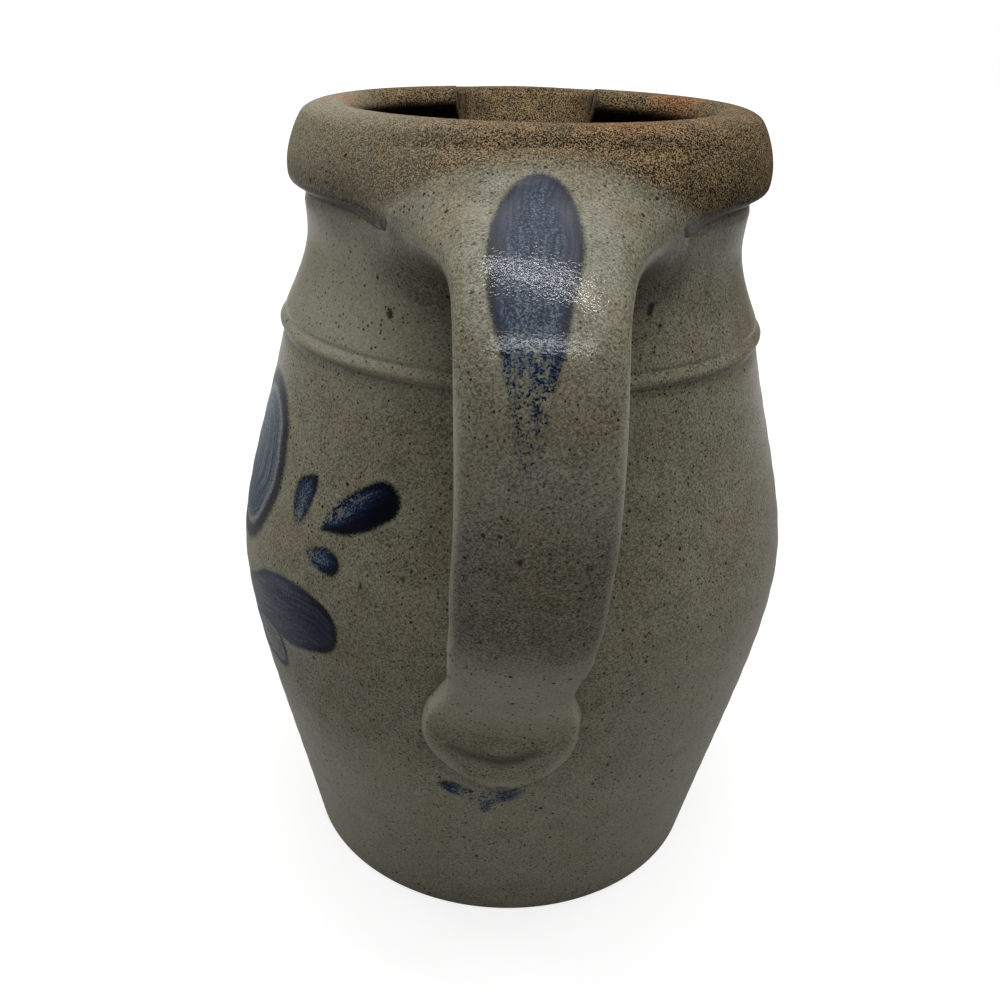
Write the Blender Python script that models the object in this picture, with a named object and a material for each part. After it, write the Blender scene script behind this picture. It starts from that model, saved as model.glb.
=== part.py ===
"""Stoneware pitcher: a thrown body, a thick collar round its mouth, a spout let into a cut in
the collar and neck, and a pulled strap handle. The four clay pieces are luted with slip.

Metres, +Z up. The foot stands on Z = 0 and the axis of the pot is the Z axis.
The handle points towards -Y and the spout towards +Y.
"""

import math

import bmesh
import bpy
from mathutils import Vector
from mathutils.geometry import interpolate_bezier

# Overall sizes
RIM_HEIGHT = 0.2207  # crown of the collar above the foot
BELLY_RADIUS = 0.0800  # widest part of the body
HANDLE_PROUD = 0.0312  # outer face of the handle beyond the widest part of the body

# Body, with levels given as shares of the rim height
FOOT_RADIUS = 0.0615
FOOT_ROUND = 0.0014
BELLY_LEVEL = 0.4436
RIDGE_LEVEL = 0.7387
WAIST_LEVEL = 0.8543
RIDGE_RADIUS = 0.0661
RIDGE_STEP = 0.0009  # the belly tucks in by this much under the ridge
WAIST_RADIUS = 0.0583
SEAT_RADIUS = 0.0593  # top of the neck, where the collar sits
WALL = 0.0062
FLOOR = 0.0085

# Collar
COLLAR_HEIGHT = 0.0209
COLLAR_OVERHANG = 0.0038  # widest part of the collar beyond the neck's seat
CROWN_INSET = 0.0081  # crown of the collar inside the neck's seat
THROAT_INSET = 0.0131  # narrowest part of the mouth inside the neck's seat

# Spout
SPOUT_WIDTH = 0.0510  # over its two sides at the lip
SPOUT_FOOT_WIDTH = 0.0160
SPOUT_DEPTH = 0.0447  # from the lip down to its lowest point on the neck
SPOUT_REACH = 0.0255  # lip beyond the seat of the collar
SPOUT_WALL = 0.0045
SPOUT_BELOW = 0.0008  # its two upper corners lie this much under the crown
SPOUT_DROOP = 0.0018  # its lip lies this much under those corners

# Handle
STRAP_WIDTH = 0.0332
STRAP_THICKNESS = 0.0112
ROOT_WIDTH = 0.0660
ROOT_THICKNESS = 0.0135
ROOT_ARCH = 0.0055  # the two edges of the root droop by this much
ROOT_DROP = 0.0071  # top of the handle's root below the crown of the collar
PAD_WIDTH = 0.0390
PAD_THICKNESS = 0.0072
PAD_PRESS = 0.0022  # depth of the thumb mark in the pad
LANDING_LEVEL = 0.4187  # where the strap meets the belly
TIP_LEVEL = 0.2632  # lowest point of the pad
ROUND_FROM = 0.90  # share of the strap's length where the round end of the pad begins
STRAP_LEAN = 0.0036  # the strap bows this far to +X of the pot's middle

SLIP = 0.0003  # layer of slip between two luted faces
TURNS = 64  # flats round every turned surface
SMOOTH_ANGLE = math.radians(38)

SEAT_HEIGHT = RIM_HEIGHT - COLLAR_HEIGHT
BELLY_HEIGHT = BELLY_LEVEL * RIM_HEIGHT
RIDGE_HEIGHT = RIDGE_LEVEL * RIM_HEIGHT
WAIST_HEIGHT = WAIST_LEVEL * RIM_HEIGHT
COLLAR_RADIUS = SEAT_RADIUS + COLLAR_OVERHANG
CROWN_RADIUS = SEAT_RADIUS - CROWN_INSET
THROAT_RADIUS = SEAT_RADIUS - THROAT_INSET


def curve(start, first, second, end, count):
    """Points of one Bezier stretch, given as pairs."""
    points = interpolate_bezier(
        Vector((start[0], start[1], 0)),
        Vector((first[0], first[1], 0)),
        Vector((second[0], second[1], 0)),
        Vector((end[0], end[1], 0)),
        count,
    )
    return [(p.x, p.y) for p in points]


def chain(*stretches):
    """Joins stretches that share their end points into one row of points."""
    row = []
    for stretch in stretches:
        if row:
            stretch = stretch[1:]
        row.extend(stretch)
    return row


def shifted(row, distance):
    """A row of (radius, height) points moved to its right-hand side by a distance."""
    moved = []
    for i, (r, z) in enumerate(row):
        before = row[max(i - 1, 0)]
        after = row[min(i + 1, len(row) - 1)]
        along = Vector((after[0] - before[0], after[1] - before[1])).normalized()
        moved.append((r + along.y * distance, z - along.x * distance))
    return moved


def radius_at(row, height):
    """Radius of a rising row of (radius, height) points at one height."""
    for (r0, z0), (r1, z1) in zip(row, row[1:]):
        if z0 <= height <= z1 and z1 > z0:
            return r0 + (r1 - r0) * (height - z0) / (z1 - z0)
    if height < row[0][1]:
        return row[0][0]
    return row[-1][0]


def blend(table, share):
    """Smooth value between the rows of a table of (share, value)."""
    for (s0, v0), (s1, v1) in zip(table, table[1:]):
        if share <= s1:
            t = (share - s0) / (s1 - s0)
            t = t * t * (3 - 2 * t)
            return v0 + (v1 - v0) * t
    return table[-1][1]


def body_outside():
    """Outside of the body from the rounded foot edge up to the seat."""
    tuck = RIDGE_RADIUS - RIDGE_STEP
    rise = BELLY_HEIGHT - FOOT_ROUND
    fall = RIDGE_HEIGHT - BELLY_HEIGHT
    neck = WAIST_HEIGHT - RIDGE_HEIGHT
    swell = BELLY_RADIUS - FOOT_RADIUS
    foot = curve(
        (FOOT_RADIUS - FOOT_ROUND, 0),
        (FOOT_RADIUS - 0.4 * FOOT_ROUND, 0),
        (FOOT_RADIUS + 0.1 * FOOT_ROUND, 0.4 * FOOT_ROUND),
        (FOOT_RADIUS + 0.4 * FOOT_ROUND, FOOT_ROUND),
        4,
    )
    lower = curve(
        (FOOT_RADIUS + 0.4 * FOOT_ROUND, FOOT_ROUND),
        (FOOT_RADIUS + 0.60 * swell, FOOT_ROUND + 0.52 * rise),
        (BELLY_RADIUS, BELLY_HEIGHT - 0.21 * rise),
        (BELLY_RADIUS, BELLY_HEIGHT),
        9,
    )
    upper = curve(
        (BELLY_RADIUS, BELLY_HEIGHT),
        (BELLY_RADIUS, BELLY_HEIGHT + 0.26 * fall),
        (tuck + 0.0050, RIDGE_HEIGHT - 0.36 * fall),
        (tuck, RIDGE_HEIGHT - 0.0006),
        8,
    )
    step = curve(
        (tuck, RIDGE_HEIGHT - 0.0006),
        (tuck, RIDGE_HEIGHT + 0.0003),
        (RIDGE_RADIUS, RIDGE_HEIGHT),
        (RIDGE_RADIUS, RIDGE_HEIGHT + 0.0010),
        4,
    )
    shoulder = curve(
        (RIDGE_RADIUS, RIDGE_HEIGHT + 0.0010),
        (RIDGE_RADIUS - 0.0012, RIDGE_HEIGHT + 0.22 * neck),
        (WAIST_RADIUS, WAIST_HEIGHT - 0.38 * neck),
        (WAIST_RADIUS, WAIST_HEIGHT),
        8,
    )
    throat = curve(
        (WAIST_RADIUS, WAIST_HEIGHT),
        (WAIST_RADIUS, WAIST_HEIGHT + 0.0035),
        (SEAT_RADIUS - 0.0004, SEAT_HEIGHT - 0.0030),
        (SEAT_RADIUS, SEAT_HEIGHT),
        4,
    )
    return chain(foot, lower, upper, step, shoulder, throat)


def body_inside():
    """Inside of the body from the middle of the floor up to the seat."""
    rise = BELLY_HEIGHT - FLOOR
    fall = SEAT_HEIGHT - BELLY_HEIGHT
    corner = FOOT_RADIUS - WALL
    floor = curve(
        (corner - 0.0120, FLOOR),
        (corner - 0.0040, FLOOR),
        (corner + 0.0008, FLOOR + 0.0030),
        (corner + 0.0026, FLOOR + 0.0120),
        5,
    )
    lower = curve(
        (corner + 0.0026, FLOOR + 0.0120),
        (corner + 0.0026 + 0.0080, FLOOR + 0.54 * rise),
        (BELLY_RADIUS - WALL, BELLY_HEIGHT - 0.21 * rise),
        (BELLY_RADIUS - WALL, BELLY_HEIGHT),
        7,
    )
    middle = (RIDGE_RADIUS - WALL - 0.0010, RIDGE_HEIGHT)
    upper = curve(
        (BELLY_RADIUS - WALL, BELLY_HEIGHT),
        (BELLY_RADIUS - WALL, BELLY_HEIGHT + 0.17 * fall),
        (middle[0] + 0.0050, RIDGE_HEIGHT - 0.24 * fall),
        middle,
        7,
    )
    neck = curve(
        middle,
        (middle[0] - 0.0050, RIDGE_HEIGHT + 0.0150),
        (WAIST_RADIUS - WALL, WAIST_HEIGHT - 0.0060),
        (SEAT_RADIUS - WALL, SEAT_HEIGHT),
        6,
    )
    return chain([(0, FLOOR)] + floor, lower, upper, neck)


def collar_inside():
    """Inside of the collar from its seat up to its crown."""
    low = SEAT_HEIGHT + SLIP
    narrow = (THROAT_RADIUS, RIM_HEIGHT - 0.0050)
    return chain(
        curve(
            (SEAT_RADIUS - WALL, low),
            (SEAT_RADIUS - WALL - 0.0015, low + 0.0050),
            (THROAT_RADIUS, RIM_HEIGHT - 0.0105),
            narrow,
            6,
        ),
        curve(
            narrow,
            (THROAT_RADIUS, RIM_HEIGHT - 0.0018),
            (CROWN_RADIUS - 0.0030, RIM_HEIGHT),
            (CROWN_RADIUS, RIM_HEIGHT),
            5,
        ),
    )


def collar_outside():
    """Outside of the collar from its crown down to its seat, with an overhanging lower edge."""
    low = SEAT_HEIGHT + SLIP
    shoulder = (CROWN_RADIUS + 0.0076, RIM_HEIGHT - 0.0021)
    wide = (COLLAR_RADIUS, SEAT_HEIGHT + 0.0060)
    edge = (SEAT_RADIUS + 0.0014, SEAT_HEIGHT + 0.0010)
    return chain(
        curve(
            (CROWN_RADIUS, RIM_HEIGHT),
            (CROWN_RADIUS + 0.0034, RIM_HEIGHT),
            (CROWN_RADIUS + 0.0060, RIM_HEIGHT - 0.0007),
            shoulder,
            4,
        ),
        curve(
            shoulder,
            (COLLAR_RADIUS - 0.0028, RIM_HEIGHT - 0.0036),
            (COLLAR_RADIUS, wide[1] + 0.0050),
            wide,
            6,
        ),
        curve(
            wide,
            (COLLAR_RADIUS, wide[1] - 0.0040),
            (edge[0] + 0.0018, edge[1] + 0.0010),
            edge,
            6,
        ),
        [edge, (SEAT_RADIUS - 0.0006, low)],
    )


def made(name, bm, look):
    """Turns finished faces into a named object of the part."""
    bmesh.ops.remove_doubles(bm, verts=bm.verts, dist=1e-6)
    bmesh.ops.recalc_face_normals(bm, faces=bm.faces)
    mesh = bpy.data.meshes.new(name)
    bm.to_mesh(mesh)
    bm.free()
    mesh.shade_smooth()
    mesh.set_sharp_from_angle(angle=SMOOTH_ANGLE)
    piece = bpy.data.objects.new(name, mesh)
    bpy.context.scene.collection.objects.link(piece)
    if look:
        mesh.materials.append(look)
    else:
        piece.hide_render = True
        piece.display_type = "WIRE"
    return piece


def turned(name, outline, look, closed):
    """Spins an outline of (radius, height) points once round the axis of the pot."""
    bm = bmesh.new()
    verts = [bm.verts.new((r, 0, z)) for r, z in outline]
    pairs = list(zip(verts, verts[1:]))
    if closed:
        pairs.append((verts[-1], verts[0]))
    edges = [bm.edges.new(pair) for pair in pairs]
    bmesh.ops.spin(
        bm,
        geom=verts + edges,
        cent=(0, 0, 0),
        axis=(0, 0, 1),
        angle=2 * math.pi,
        steps=TURNS,
        use_merge=True,
    )
    return made(name, bm, look)


def lofted(name, rings, look):
    """Joins equal rings of points into one closed skin with capped ends."""
    bm = bmesh.new()
    loops = [[bm.verts.new(p) for p in ring] for ring in rings]
    for one, two in zip(loops, loops[1:]):
        for i in range(len(one)):
            j = (i + 1) % len(one)
            bm.faces.new((one[i], one[j], two[j], two[i]))
    bm.faces.new(loops[0])
    bm.faces.new(loops[-1])
    return made(name, bm, look)


def cut(piece, cutter):
    """Takes the shape of a hidden cutter out of a piece."""
    step = piece.modifiers.new("Cut by " + cutter.name, "BOOLEAN")
    step.operation = "DIFFERENCE"
    step.solver = "EXACT"
    step.object = cutter


def glaze(name, colour, roughness):
    """Plain fired-clay material in one linear colour."""
    look = bpy.data.materials.new(name)
    look.use_nodes = True
    shader = look.node_tree.nodes["Principled BSDF"]
    shader.inputs["Base Color"].default_value = (*colour, 1)
    shader.inputs["Roughness"].default_value = roughness
    return look


def spout_half_width(height):
    """Half the width of the spout over its sides at one height."""
    top = RIM_HEIGHT - SPOUT_BELOW
    share = (height - (top - SPOUT_DEPTH)) / SPOUT_DEPTH
    share = min(max(share, 0), 1)
    foot = SPOUT_FOOT_WIDTH / 2
    return foot + (SPOUT_WIDTH / 2 - foot) * math.sin(share * math.pi / 2) ** 0.9


def spout_line(share, inset, lower):
    """One U-shaped row of the spout in plan: along one side, round the nose and back."""
    top = RIM_HEIGHT - SPOUT_BELOW
    level = top - SPOUT_DEPTH * (1 - share)
    half = spout_half_width(level) - inset
    nose = SEAT_RADIUS + 0.0022 + SPOUT_REACH * share**1.25 - 1.25 * inset
    bend = min(math.sqrt(SEAT_RADIUS**2 - half**2), nose - 0.0008)
    level = level + 1.6 * inset * (1 - share) - lower
    line = [Vector((-half, THROAT_RADIUS * 0.8, level))]
    turns = 10
    for k in range(-turns, turns + 1):
        turn = k / turns * math.pi / 2
        y = bend + (nose - bend) * math.cos(turn) ** 1.15
        droop = SPOUT_DROOP * share**3 * (y - bend) / (nose - bend)
        line.append(Vector((half * math.sin(turn), y, level - droop)))
    line.append(Vector((half, THROAT_RADIUS * 0.8, level)))
    return line


def spout_rings():
    """Sections of the spout's trough from one side round to the other."""
    rows = [i / 11 for i in range(12)]
    outside = [spout_line(share, 0, 0) for share in rows[:-1]]
    outside.append(spout_line(1, 0.0003, 0.0014))
    crest = [spout_line(1, 0.0014, 0.0001), spout_line(1, SPOUT_WALL - 0.0014, 0.0001)]
    inside = [spout_line(1, SPOUT_WALL - 0.0003, 0.0014)]
    inside += [spout_line(share, SPOUT_WALL, 0) for share in rows[-2::-1]]
    return list(zip(*(outside + crest + inside)))


def notch_rings():
    """Wedge that opens the collar and neck inside the spout, flush with the spout's channel."""
    rows = [i / 11 for i in range(12)]
    lines = [spout_line(share, SPOUT_WALL, 0) for share in rows]
    right = [(line[-1].x, line[-1].z) for line in lines]
    right.append((right[-1][0], RIM_HEIGHT + 0.02))
    left = [(-x, z) for x, z in right[::-1]]
    near = THROAT_RADIUS * 0.6
    far = SEAT_RADIUS + SPOUT_REACH + 0.02
    return [[(x, y, z) for x, z in right + left] for y in (near, far)]


def handle_path():
    """Outer face of the strap, as (distance in front of the axis, height), root to tip."""
    outside = body_outside()
    reach = BELLY_RADIUS + HANDLE_PROUD
    inner = THROAT_RADIUS + 0.0060
    root = RIM_HEIGHT - ROOT_DROP
    shoulder = (reach - 0.0122, 0.8772 * RIM_HEIGHT)
    grip = (reach, 0.7476 * RIM_HEIGHT)
    land_height = LANDING_LEVEL * RIM_HEIGHT
    landing = (radius_at(outside, land_height) + PAD_THICKNESS + 0.0008, land_height)
    tip_height = TIP_LEVEL * RIM_HEIGHT
    tip = (radius_at(outside, tip_height) + 0.0012, tip_height)
    span = grip[1] - landing[1]
    drop = landing[1] - tip[1]
    middle_height = (land_height + tip_height) / 2
    middle = radius_at(outside, middle_height) + 0.72 * PAD_THICKNESS
    return chain(
        curve(
            (inner, root),
            (inner + 0.0210, root - 0.0022),
            (shoulder[0] - 0.0120, shoulder[1] + 0.0096),
            shoulder,
            13,
        ),
        curve(
            shoulder,
            (reach - 0.0052, shoulder[1] - 0.0056),
            (reach, grip[1] + 0.0130),
            grip,
            8,
        ),
        curve(
            grip,
            (reach, grip[1] - 0.33 * span),
            (landing[0] + 0.0120, landing[1] + 0.28 * span),
            landing,
            12,
        ),
        curve(
            landing,
            (landing[0] - 0.0040, landing[1] - 0.24 * drop),
            (middle, middle_height - 0.10 * drop),
            tip,
            15,
        ),
    )


def strap_ring(centre, out, width, thick, dish, arch, wrap):
    """One section of the strap: a flattened oval whose outer face may be pressed hollow.

    An arch lowers its two edges, and a wrap bends it round the collar.
    """
    ring = []
    count = 24
    for k in range(count):
        turn = 2 * math.pi * k / count
        c, s = math.cos(turn), math.sin(turn)
        x = width / 2 * math.copysign(abs(c) ** 0.72, c)
        n = thick / 2 * (math.copysign(abs(s) ** 0.92, s) - 1)
        if s > 0:
            n = n - dish * (1 - (2 * x / width) ** 2)
        n = n - arch * abs(2 * x / width) ** 1.8
        from_axis = min(abs(centre.x + x), 0.8 * COLLAR_RADIUS)
        bow = wrap * (COLLAR_RADIUS - math.sqrt(COLLAR_RADIUS**2 - from_axis**2))
        ring.append(centre + Vector((x, bow, 0)) + out * n)
    return ring


def handle_rings():
    """Sections of the handle from inside the collar to the tip of the pressed pad."""
    path = handle_path()
    lengths = [0]
    for (y0, z0), (y1, z1) in zip(path, path[1:]):
        lengths.append(lengths[-1] + math.hypot(y1 - y0, z1 - z0))
    widths = [
        (0, ROOT_WIDTH),
        (0.05, 0.94 * ROOT_WIDTH),
        (0.195, STRAP_WIDTH + 0.0010),
        (0.42, STRAP_WIDTH),
        (0.72, 0.97 * STRAP_WIDTH),
        (0.81, 0.92 * STRAP_WIDTH),
        (0.89, PAD_WIDTH),
        (1, 0.98 * PAD_WIDTH),
    ]
    thicks = [
        (0, ROOT_THICKNESS),
        (0.07, ROOT_THICKNESS),
        (0.27, STRAP_THICKNESS + 0.0008),
        (0.45, STRAP_THICKNESS),
        (0.80, STRAP_THICKNESS + 0.0004),
        (1, STRAP_THICKNESS),
    ]
    leans = [
        (0, 0.33 * STRAP_LEAN),
        (0.25, 0.80 * STRAP_LEAN),
        (0.50, STRAP_LEAN),
        (0.78, 0.35 * STRAP_LEAN),
        (0.90, -0.50 * STRAP_LEAN),
        (1, -0.20 * STRAP_LEAN),
    ]
    presses = [
        (0, 0),
        (0.86, 0),
        (0.93, PAD_PRESS),
        (0.99, 0),
        (1, 0),
    ]
    arches = [
        (0, ROOT_ARCH),
        (0.06, ROOT_ARCH),
        (0.22, 0),
        (1, 0),
    ]
    wraps = [
        (0, 1),
        (0.02, 1),
        (0.16, 0),
        (1, 0),
    ]
    rings = []
    for i, (y, z) in enumerate(path):
        before = path[max(i - 1, 0)]
        after = path[min(i + 1, len(path) - 1)]
        along = Vector((0, before[0] - after[0], after[1] - before[1])).normalized()
        out = along.cross(Vector((1, 0, 0)))
        share = lengths[i] / lengths[-1]
        centre = Vector((blend(leans, share), -y, z))
        width = blend(widths, share)
        past = max(0, (share - ROUND_FROM) / (1.004 - ROUND_FROM))
        width = width * math.sqrt(1 - past**2)
        thick = blend(thicks, share)
        press = blend(presses, share)
        arch = blend(arches, share)
        wrap = blend(wraps, share)
        rings.append(strap_ring(centre, out, width, thick, press, arch, wrap))
    return rings


def pot_solid(grow):
    """Outline of body and collar together as one filled shape, grown by a layer of slip."""
    skin = body_outside() + collar_outside()[-2:0:-1]
    top = (CROWN_RADIUS, RIM_HEIGHT + grow)
    return [(0, -grow)] + shifted(skin, grow) + [top, (0, RIM_HEIGHT + grow)]


def build():
    for old in list(bpy.data.objects):
        bpy.data.objects.remove(old, do_unlink=True)

    salt_glaze = glaze("Salt-glazed grey stoneware", (0.165, 0.158, 0.118), 0.38)
    toasted = glaze("Toasted salt-glazed stoneware rim", (0.150, 0.118, 0.078), 0.55)
    toasted_spout = glaze("Toasted salt-glazed stoneware spout", (0.140, 0.105, 0.072), 0.55)
    strap_glaze = glaze("Salt-glazed stoneware handle", (0.190, 0.182, 0.138), 0.34)

    body_line = body_outside()
    body_line = [(0, 0)] + body_line + body_inside()[::-1]
    body = turned("thrown_body", body_line, salt_glaze, False)
    collar_line = collar_inside() + collar_outside()[1:]
    collar = turned("rim_collar", collar_line, toasted, True)
    spout = lofted("pour_spout", spout_rings(), toasted_spout)
    handle = lofted("strap_handle", handle_rings(), strap_glaze)

    notch = lofted("cutter_spout_notch", notch_rings(), None)
    pot = turned("cutter_pot_with_slip", pot_solid(SLIP), None, False)
    cut(body, notch)
    cut(collar, notch)
    cut(spout, pot)
    cut(handle, pot)


build()
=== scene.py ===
# %% [markdown]
# # A salt-glazed stoneware pitcher
#
# The pitcher was thrown on a wheel in one piece up to the neck. A thick collar was set on the
# neck, a spout was luted over a cut in the collar, and a pulled strap handle was pressed on at the
# back. The kiln then did the rest: salt vapour left a pebbled grey glaze, the rim toasted brown,
# and cobalt brushwork turned blue.
#
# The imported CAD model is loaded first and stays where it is. Every piece below replaces one of its
# four nodes with a finer skin of the same shape, so the sizes here repeat the ones of the part.

import math

import bmesh
import bpy
import numpy as np
from mathutils import Matrix, Vector
from mathutils.bvhtree import BVHTree


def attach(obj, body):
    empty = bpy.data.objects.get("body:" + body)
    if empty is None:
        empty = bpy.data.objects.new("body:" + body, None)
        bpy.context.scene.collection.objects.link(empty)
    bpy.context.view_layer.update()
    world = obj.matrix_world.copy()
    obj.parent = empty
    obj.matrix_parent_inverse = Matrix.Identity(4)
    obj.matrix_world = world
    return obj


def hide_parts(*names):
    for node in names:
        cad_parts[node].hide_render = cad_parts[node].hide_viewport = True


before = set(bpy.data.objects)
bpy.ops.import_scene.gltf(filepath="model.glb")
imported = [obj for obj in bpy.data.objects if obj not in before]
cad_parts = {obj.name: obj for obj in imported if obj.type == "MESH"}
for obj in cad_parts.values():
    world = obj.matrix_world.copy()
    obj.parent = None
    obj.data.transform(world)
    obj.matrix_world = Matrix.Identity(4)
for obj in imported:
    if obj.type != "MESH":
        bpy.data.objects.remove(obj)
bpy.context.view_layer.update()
print("packed nodes:", sorted(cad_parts))

# %% [markdown]
# ## The camera
#
# The photograph looks down on the handle from about 29 cm away. The place and the tilt come from
# fitting the foot circle, the outline and the far rim of the pot. A wide lens that close is what
# makes the rim look as wide as the belly. A longer lens further off would be easier to set up, but
# then the collar would look too small.

# %% Camera at the photograph's place
CAMERA_PLACE = (-0.00383, -0.29025, 0.24386)
CAMERA_DIP = 0.44579  # radians below the horizon
CAMERA_ROLL = 0.03600  # radians
LENS_MM = 37.8

lens = bpy.data.cameras.new("photo_camera")
lens.sensor_width = 36
lens.lens = LENS_MM
lens.clip_start = 0.01
camera = bpy.data.objects.new("photo_camera", lens)
bpy.context.scene.collection.objects.link(camera)
tilt = Matrix.Rotation(math.pi / 2 - CAMERA_DIP, 4, "X")
roll = Matrix.Rotation(CAMERA_ROLL, 4, "Z")
camera.matrix_world = Matrix.Translation(CAMERA_PLACE) @ tilt @ roll
bpy.context.scene.camera = camera
print("camera", round(math.degrees(CAMERA_DIP), 1), "degrees below the horizon")

# %% [markdown]
# ## Outlines on the wheel
#
# A thrown pot is one outline turned round its axis. The outline is drawn in Bezier stretches, the
# same ones as in the part, only with many more points: a row about every 1.4 mm, and finer at the
# small step under the shoulder ridge, because that edge catches the light.

# %% Sizes of the pot, in metres
RIM_HEIGHT = 0.2207
SEAT_HEIGHT = 0.1998
BELLY_HEIGHT = 0.0979
RIDGE_HEIGHT = 0.16302
WAIST_HEIGHT = 0.18854
FOOT_RADIUS = 0.0615
FOOT_ROUND = 0.0014
BELLY_RADIUS = 0.0800
RIDGE_RADIUS = 0.0661
TUCK_RADIUS = 0.0652
WAIST_RADIUS = 0.0583
SEAT_RADIUS = 0.0593
COLLAR_RADIUS = 0.0631
CROWN_RADIUS = 0.0512
THROAT_RADIUS = 0.0462
WALL = 0.0062
FLOOR = 0.0085


def bezier(start, first, second, end, count):
    """Points of one Bezier stretch."""
    share = np.linspace(0, 1, count)[:, None]
    back = 1 - share
    near = back**3 * np.array(start) + 3 * back**2 * share * np.array(first)
    return near + 3 * back * share**2 * np.array(second) + share**3 * np.array(end)


def joined(*rows):
    """Stretches that share their end points as one row of points."""
    return np.vstack([rows[0]] + [row[1:] for row in rows[1:]])


def eased(low, high, value):
    """0 below low, 1 above high, and a smooth rise between."""
    share = np.clip((value - low) / (high - low), 0, 1)
    return share * share * (3 - 2 * share)


print("pot is", round(1000 * RIM_HEIGHT, 1), "mm high and", round(2000 * BELLY_RADIUS, 1), "mm wide")

# %% Outline of the body outside, as (radius, height)
rise = BELLY_HEIGHT - FOOT_ROUND
fall = RIDGE_HEIGHT - BELLY_HEIGHT
neck = WAIST_HEIGHT - RIDGE_HEIGHT
swell = BELLY_RADIUS - FOOT_RADIUS
foot_edge = (FOOT_RADIUS + 0.4 * FOOT_ROUND, FOOT_ROUND)
belly = (BELLY_RADIUS, BELLY_HEIGHT)
under_ridge = (TUCK_RADIUS, RIDGE_HEIGHT - 0.0006)
on_ridge = (RIDGE_RADIUS, RIDGE_HEIGHT + 0.0010)
waist = (WAIST_RADIUS, WAIST_HEIGHT)
body_outside = joined(
    bezier(
        (FOOT_RADIUS - FOOT_ROUND, 0),
        (FOOT_RADIUS - 0.4 * FOOT_ROUND, 0),
        (FOOT_RADIUS + 0.1 * FOOT_ROUND, 0.4 * FOOT_ROUND),
        foot_edge,
        7,
    ),
    bezier(
        foot_edge,
        (FOOT_RADIUS + 0.60 * swell, FOOT_ROUND + 0.52 * rise),
        (BELLY_RADIUS, BELLY_HEIGHT - 0.21 * rise),
        belly,
        64,
    ),
    bezier(
        belly,
        (BELLY_RADIUS, BELLY_HEIGHT + 0.26 * fall),
        (TUCK_RADIUS + 0.0050, RIDGE_HEIGHT - 0.36 * fall),
        under_ridge,
        50,
    ),
    bezier(
        under_ridge,
        (TUCK_RADIUS, RIDGE_HEIGHT + 0.0003),
        (RIDGE_RADIUS, RIDGE_HEIGHT),
        on_ridge,
        10,
    ),
    bezier(
        on_ridge,
        (RIDGE_RADIUS - 0.0012, RIDGE_HEIGHT + 0.22 * neck),
        (WAIST_RADIUS, WAIST_HEIGHT - 0.38 * neck),
        waist,
        20,
    ),
    bezier(
        waist,
        (WAIST_RADIUS, WAIST_HEIGHT + 0.0035),
        (SEAT_RADIUS - 0.0004, SEAT_HEIGHT - 0.0030),
        (SEAT_RADIUS, SEAT_HEIGHT),
        9,
    ),
)
print("body outline:", len(body_outside), "rows outside")

# %% Outline of the body inside
depth = BELLY_HEIGHT - FLOOR
inner_fall = SEAT_HEIGHT - BELLY_HEIGHT
corner = FOOT_RADIUS - WALL
inner_belly = (BELLY_RADIUS - WALL, BELLY_HEIGHT)
inner_ridge = (RIDGE_RADIUS - WALL - 0.0010, RIDGE_HEIGHT)
corner_top = (corner + 0.0026, FLOOR + 0.0120)
body_inside = joined(
    np.array([(0, FLOOR), (0.016, FLOOR), (0.030, FLOOR), (corner - 0.0120, FLOOR)]),
    bezier(
        (corner - 0.0120, FLOOR),
        (corner - 0.0040, FLOOR),
        (corner + 0.0008, FLOOR + 0.0030),
        corner_top,
        9,
    ),
    bezier(
        corner_top,
        (corner + 0.0106, FLOOR + 0.54 * depth),
        (BELLY_RADIUS - WALL, BELLY_HEIGHT - 0.21 * depth),
        inner_belly,
        26,
    ),
    bezier(
        inner_belly,
        (BELLY_RADIUS - WALL, BELLY_HEIGHT + 0.17 * inner_fall),
        (inner_ridge[0] + 0.0050, RIDGE_HEIGHT - 0.24 * inner_fall),
        inner_ridge,
        22,
    ),
    bezier(
        inner_ridge,
        (inner_ridge[0] - 0.0050, RIDGE_HEIGHT + 0.0150),
        (WAIST_RADIUS - WALL, WAIST_HEIGHT - 0.0060),
        (SEAT_RADIUS - WALL, SEAT_HEIGHT),
        14,
    ),
)
print("body outline:", len(body_inside), "rows inside")

# %% [markdown]
# ## The cut for the spout
#
# The potter cut a wedge out of the collar and the neck before luting the spout over it. Turning the
# outline through a little less than a full round leaves that wedge open, with no Boolean: each row
# stops short of the spout side by half the wedge's width at that height.

# %% Half the width of the wedge
SPOUT_TOP = 0.2199
SPOUT_DEPTH = 0.0447
SPOUT_HALF = 0.0255
SPOUT_FOOT_HALF = 0.0080
SPOUT_WALL = 0.0045
NOTCH_BOTTOM = 0.1812
NECK_LOW = 0.165  # root and spout are luted on above this height
FRONT = 0.03  # the spout lies further forward than this, and the root as far back
COLUMNS = 380


def spout_half(share):
    """Half the width of the spout over its sides, from its foot at 0 to its lip at 1."""
    share = np.clip(share, 0, 1)
    return SPOUT_FOOT_HALF + (SPOUT_HALF - SPOUT_FOOT_HALF) * np.sin(share * np.pi / 2) ** 0.9


def notch_half(height):
    """Half the width of the cut at a height: flush with the inside of the spout, round below."""
    share = 1 - (SPOUT_TOP - height) / (SPOUT_DEPTH - 1.6 * SPOUT_WALL)
    lift = np.clip((height - NOTCH_BOTTOM) / 0.0034, 0, 1)
    return (spout_half(share) - SPOUT_WALL) * np.sqrt(1 - (1 - lift) ** 2)


print("cut is", round(2000 * float(notch_half(SPOUT_TOP)), 1), "mm wide at the rim")


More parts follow.
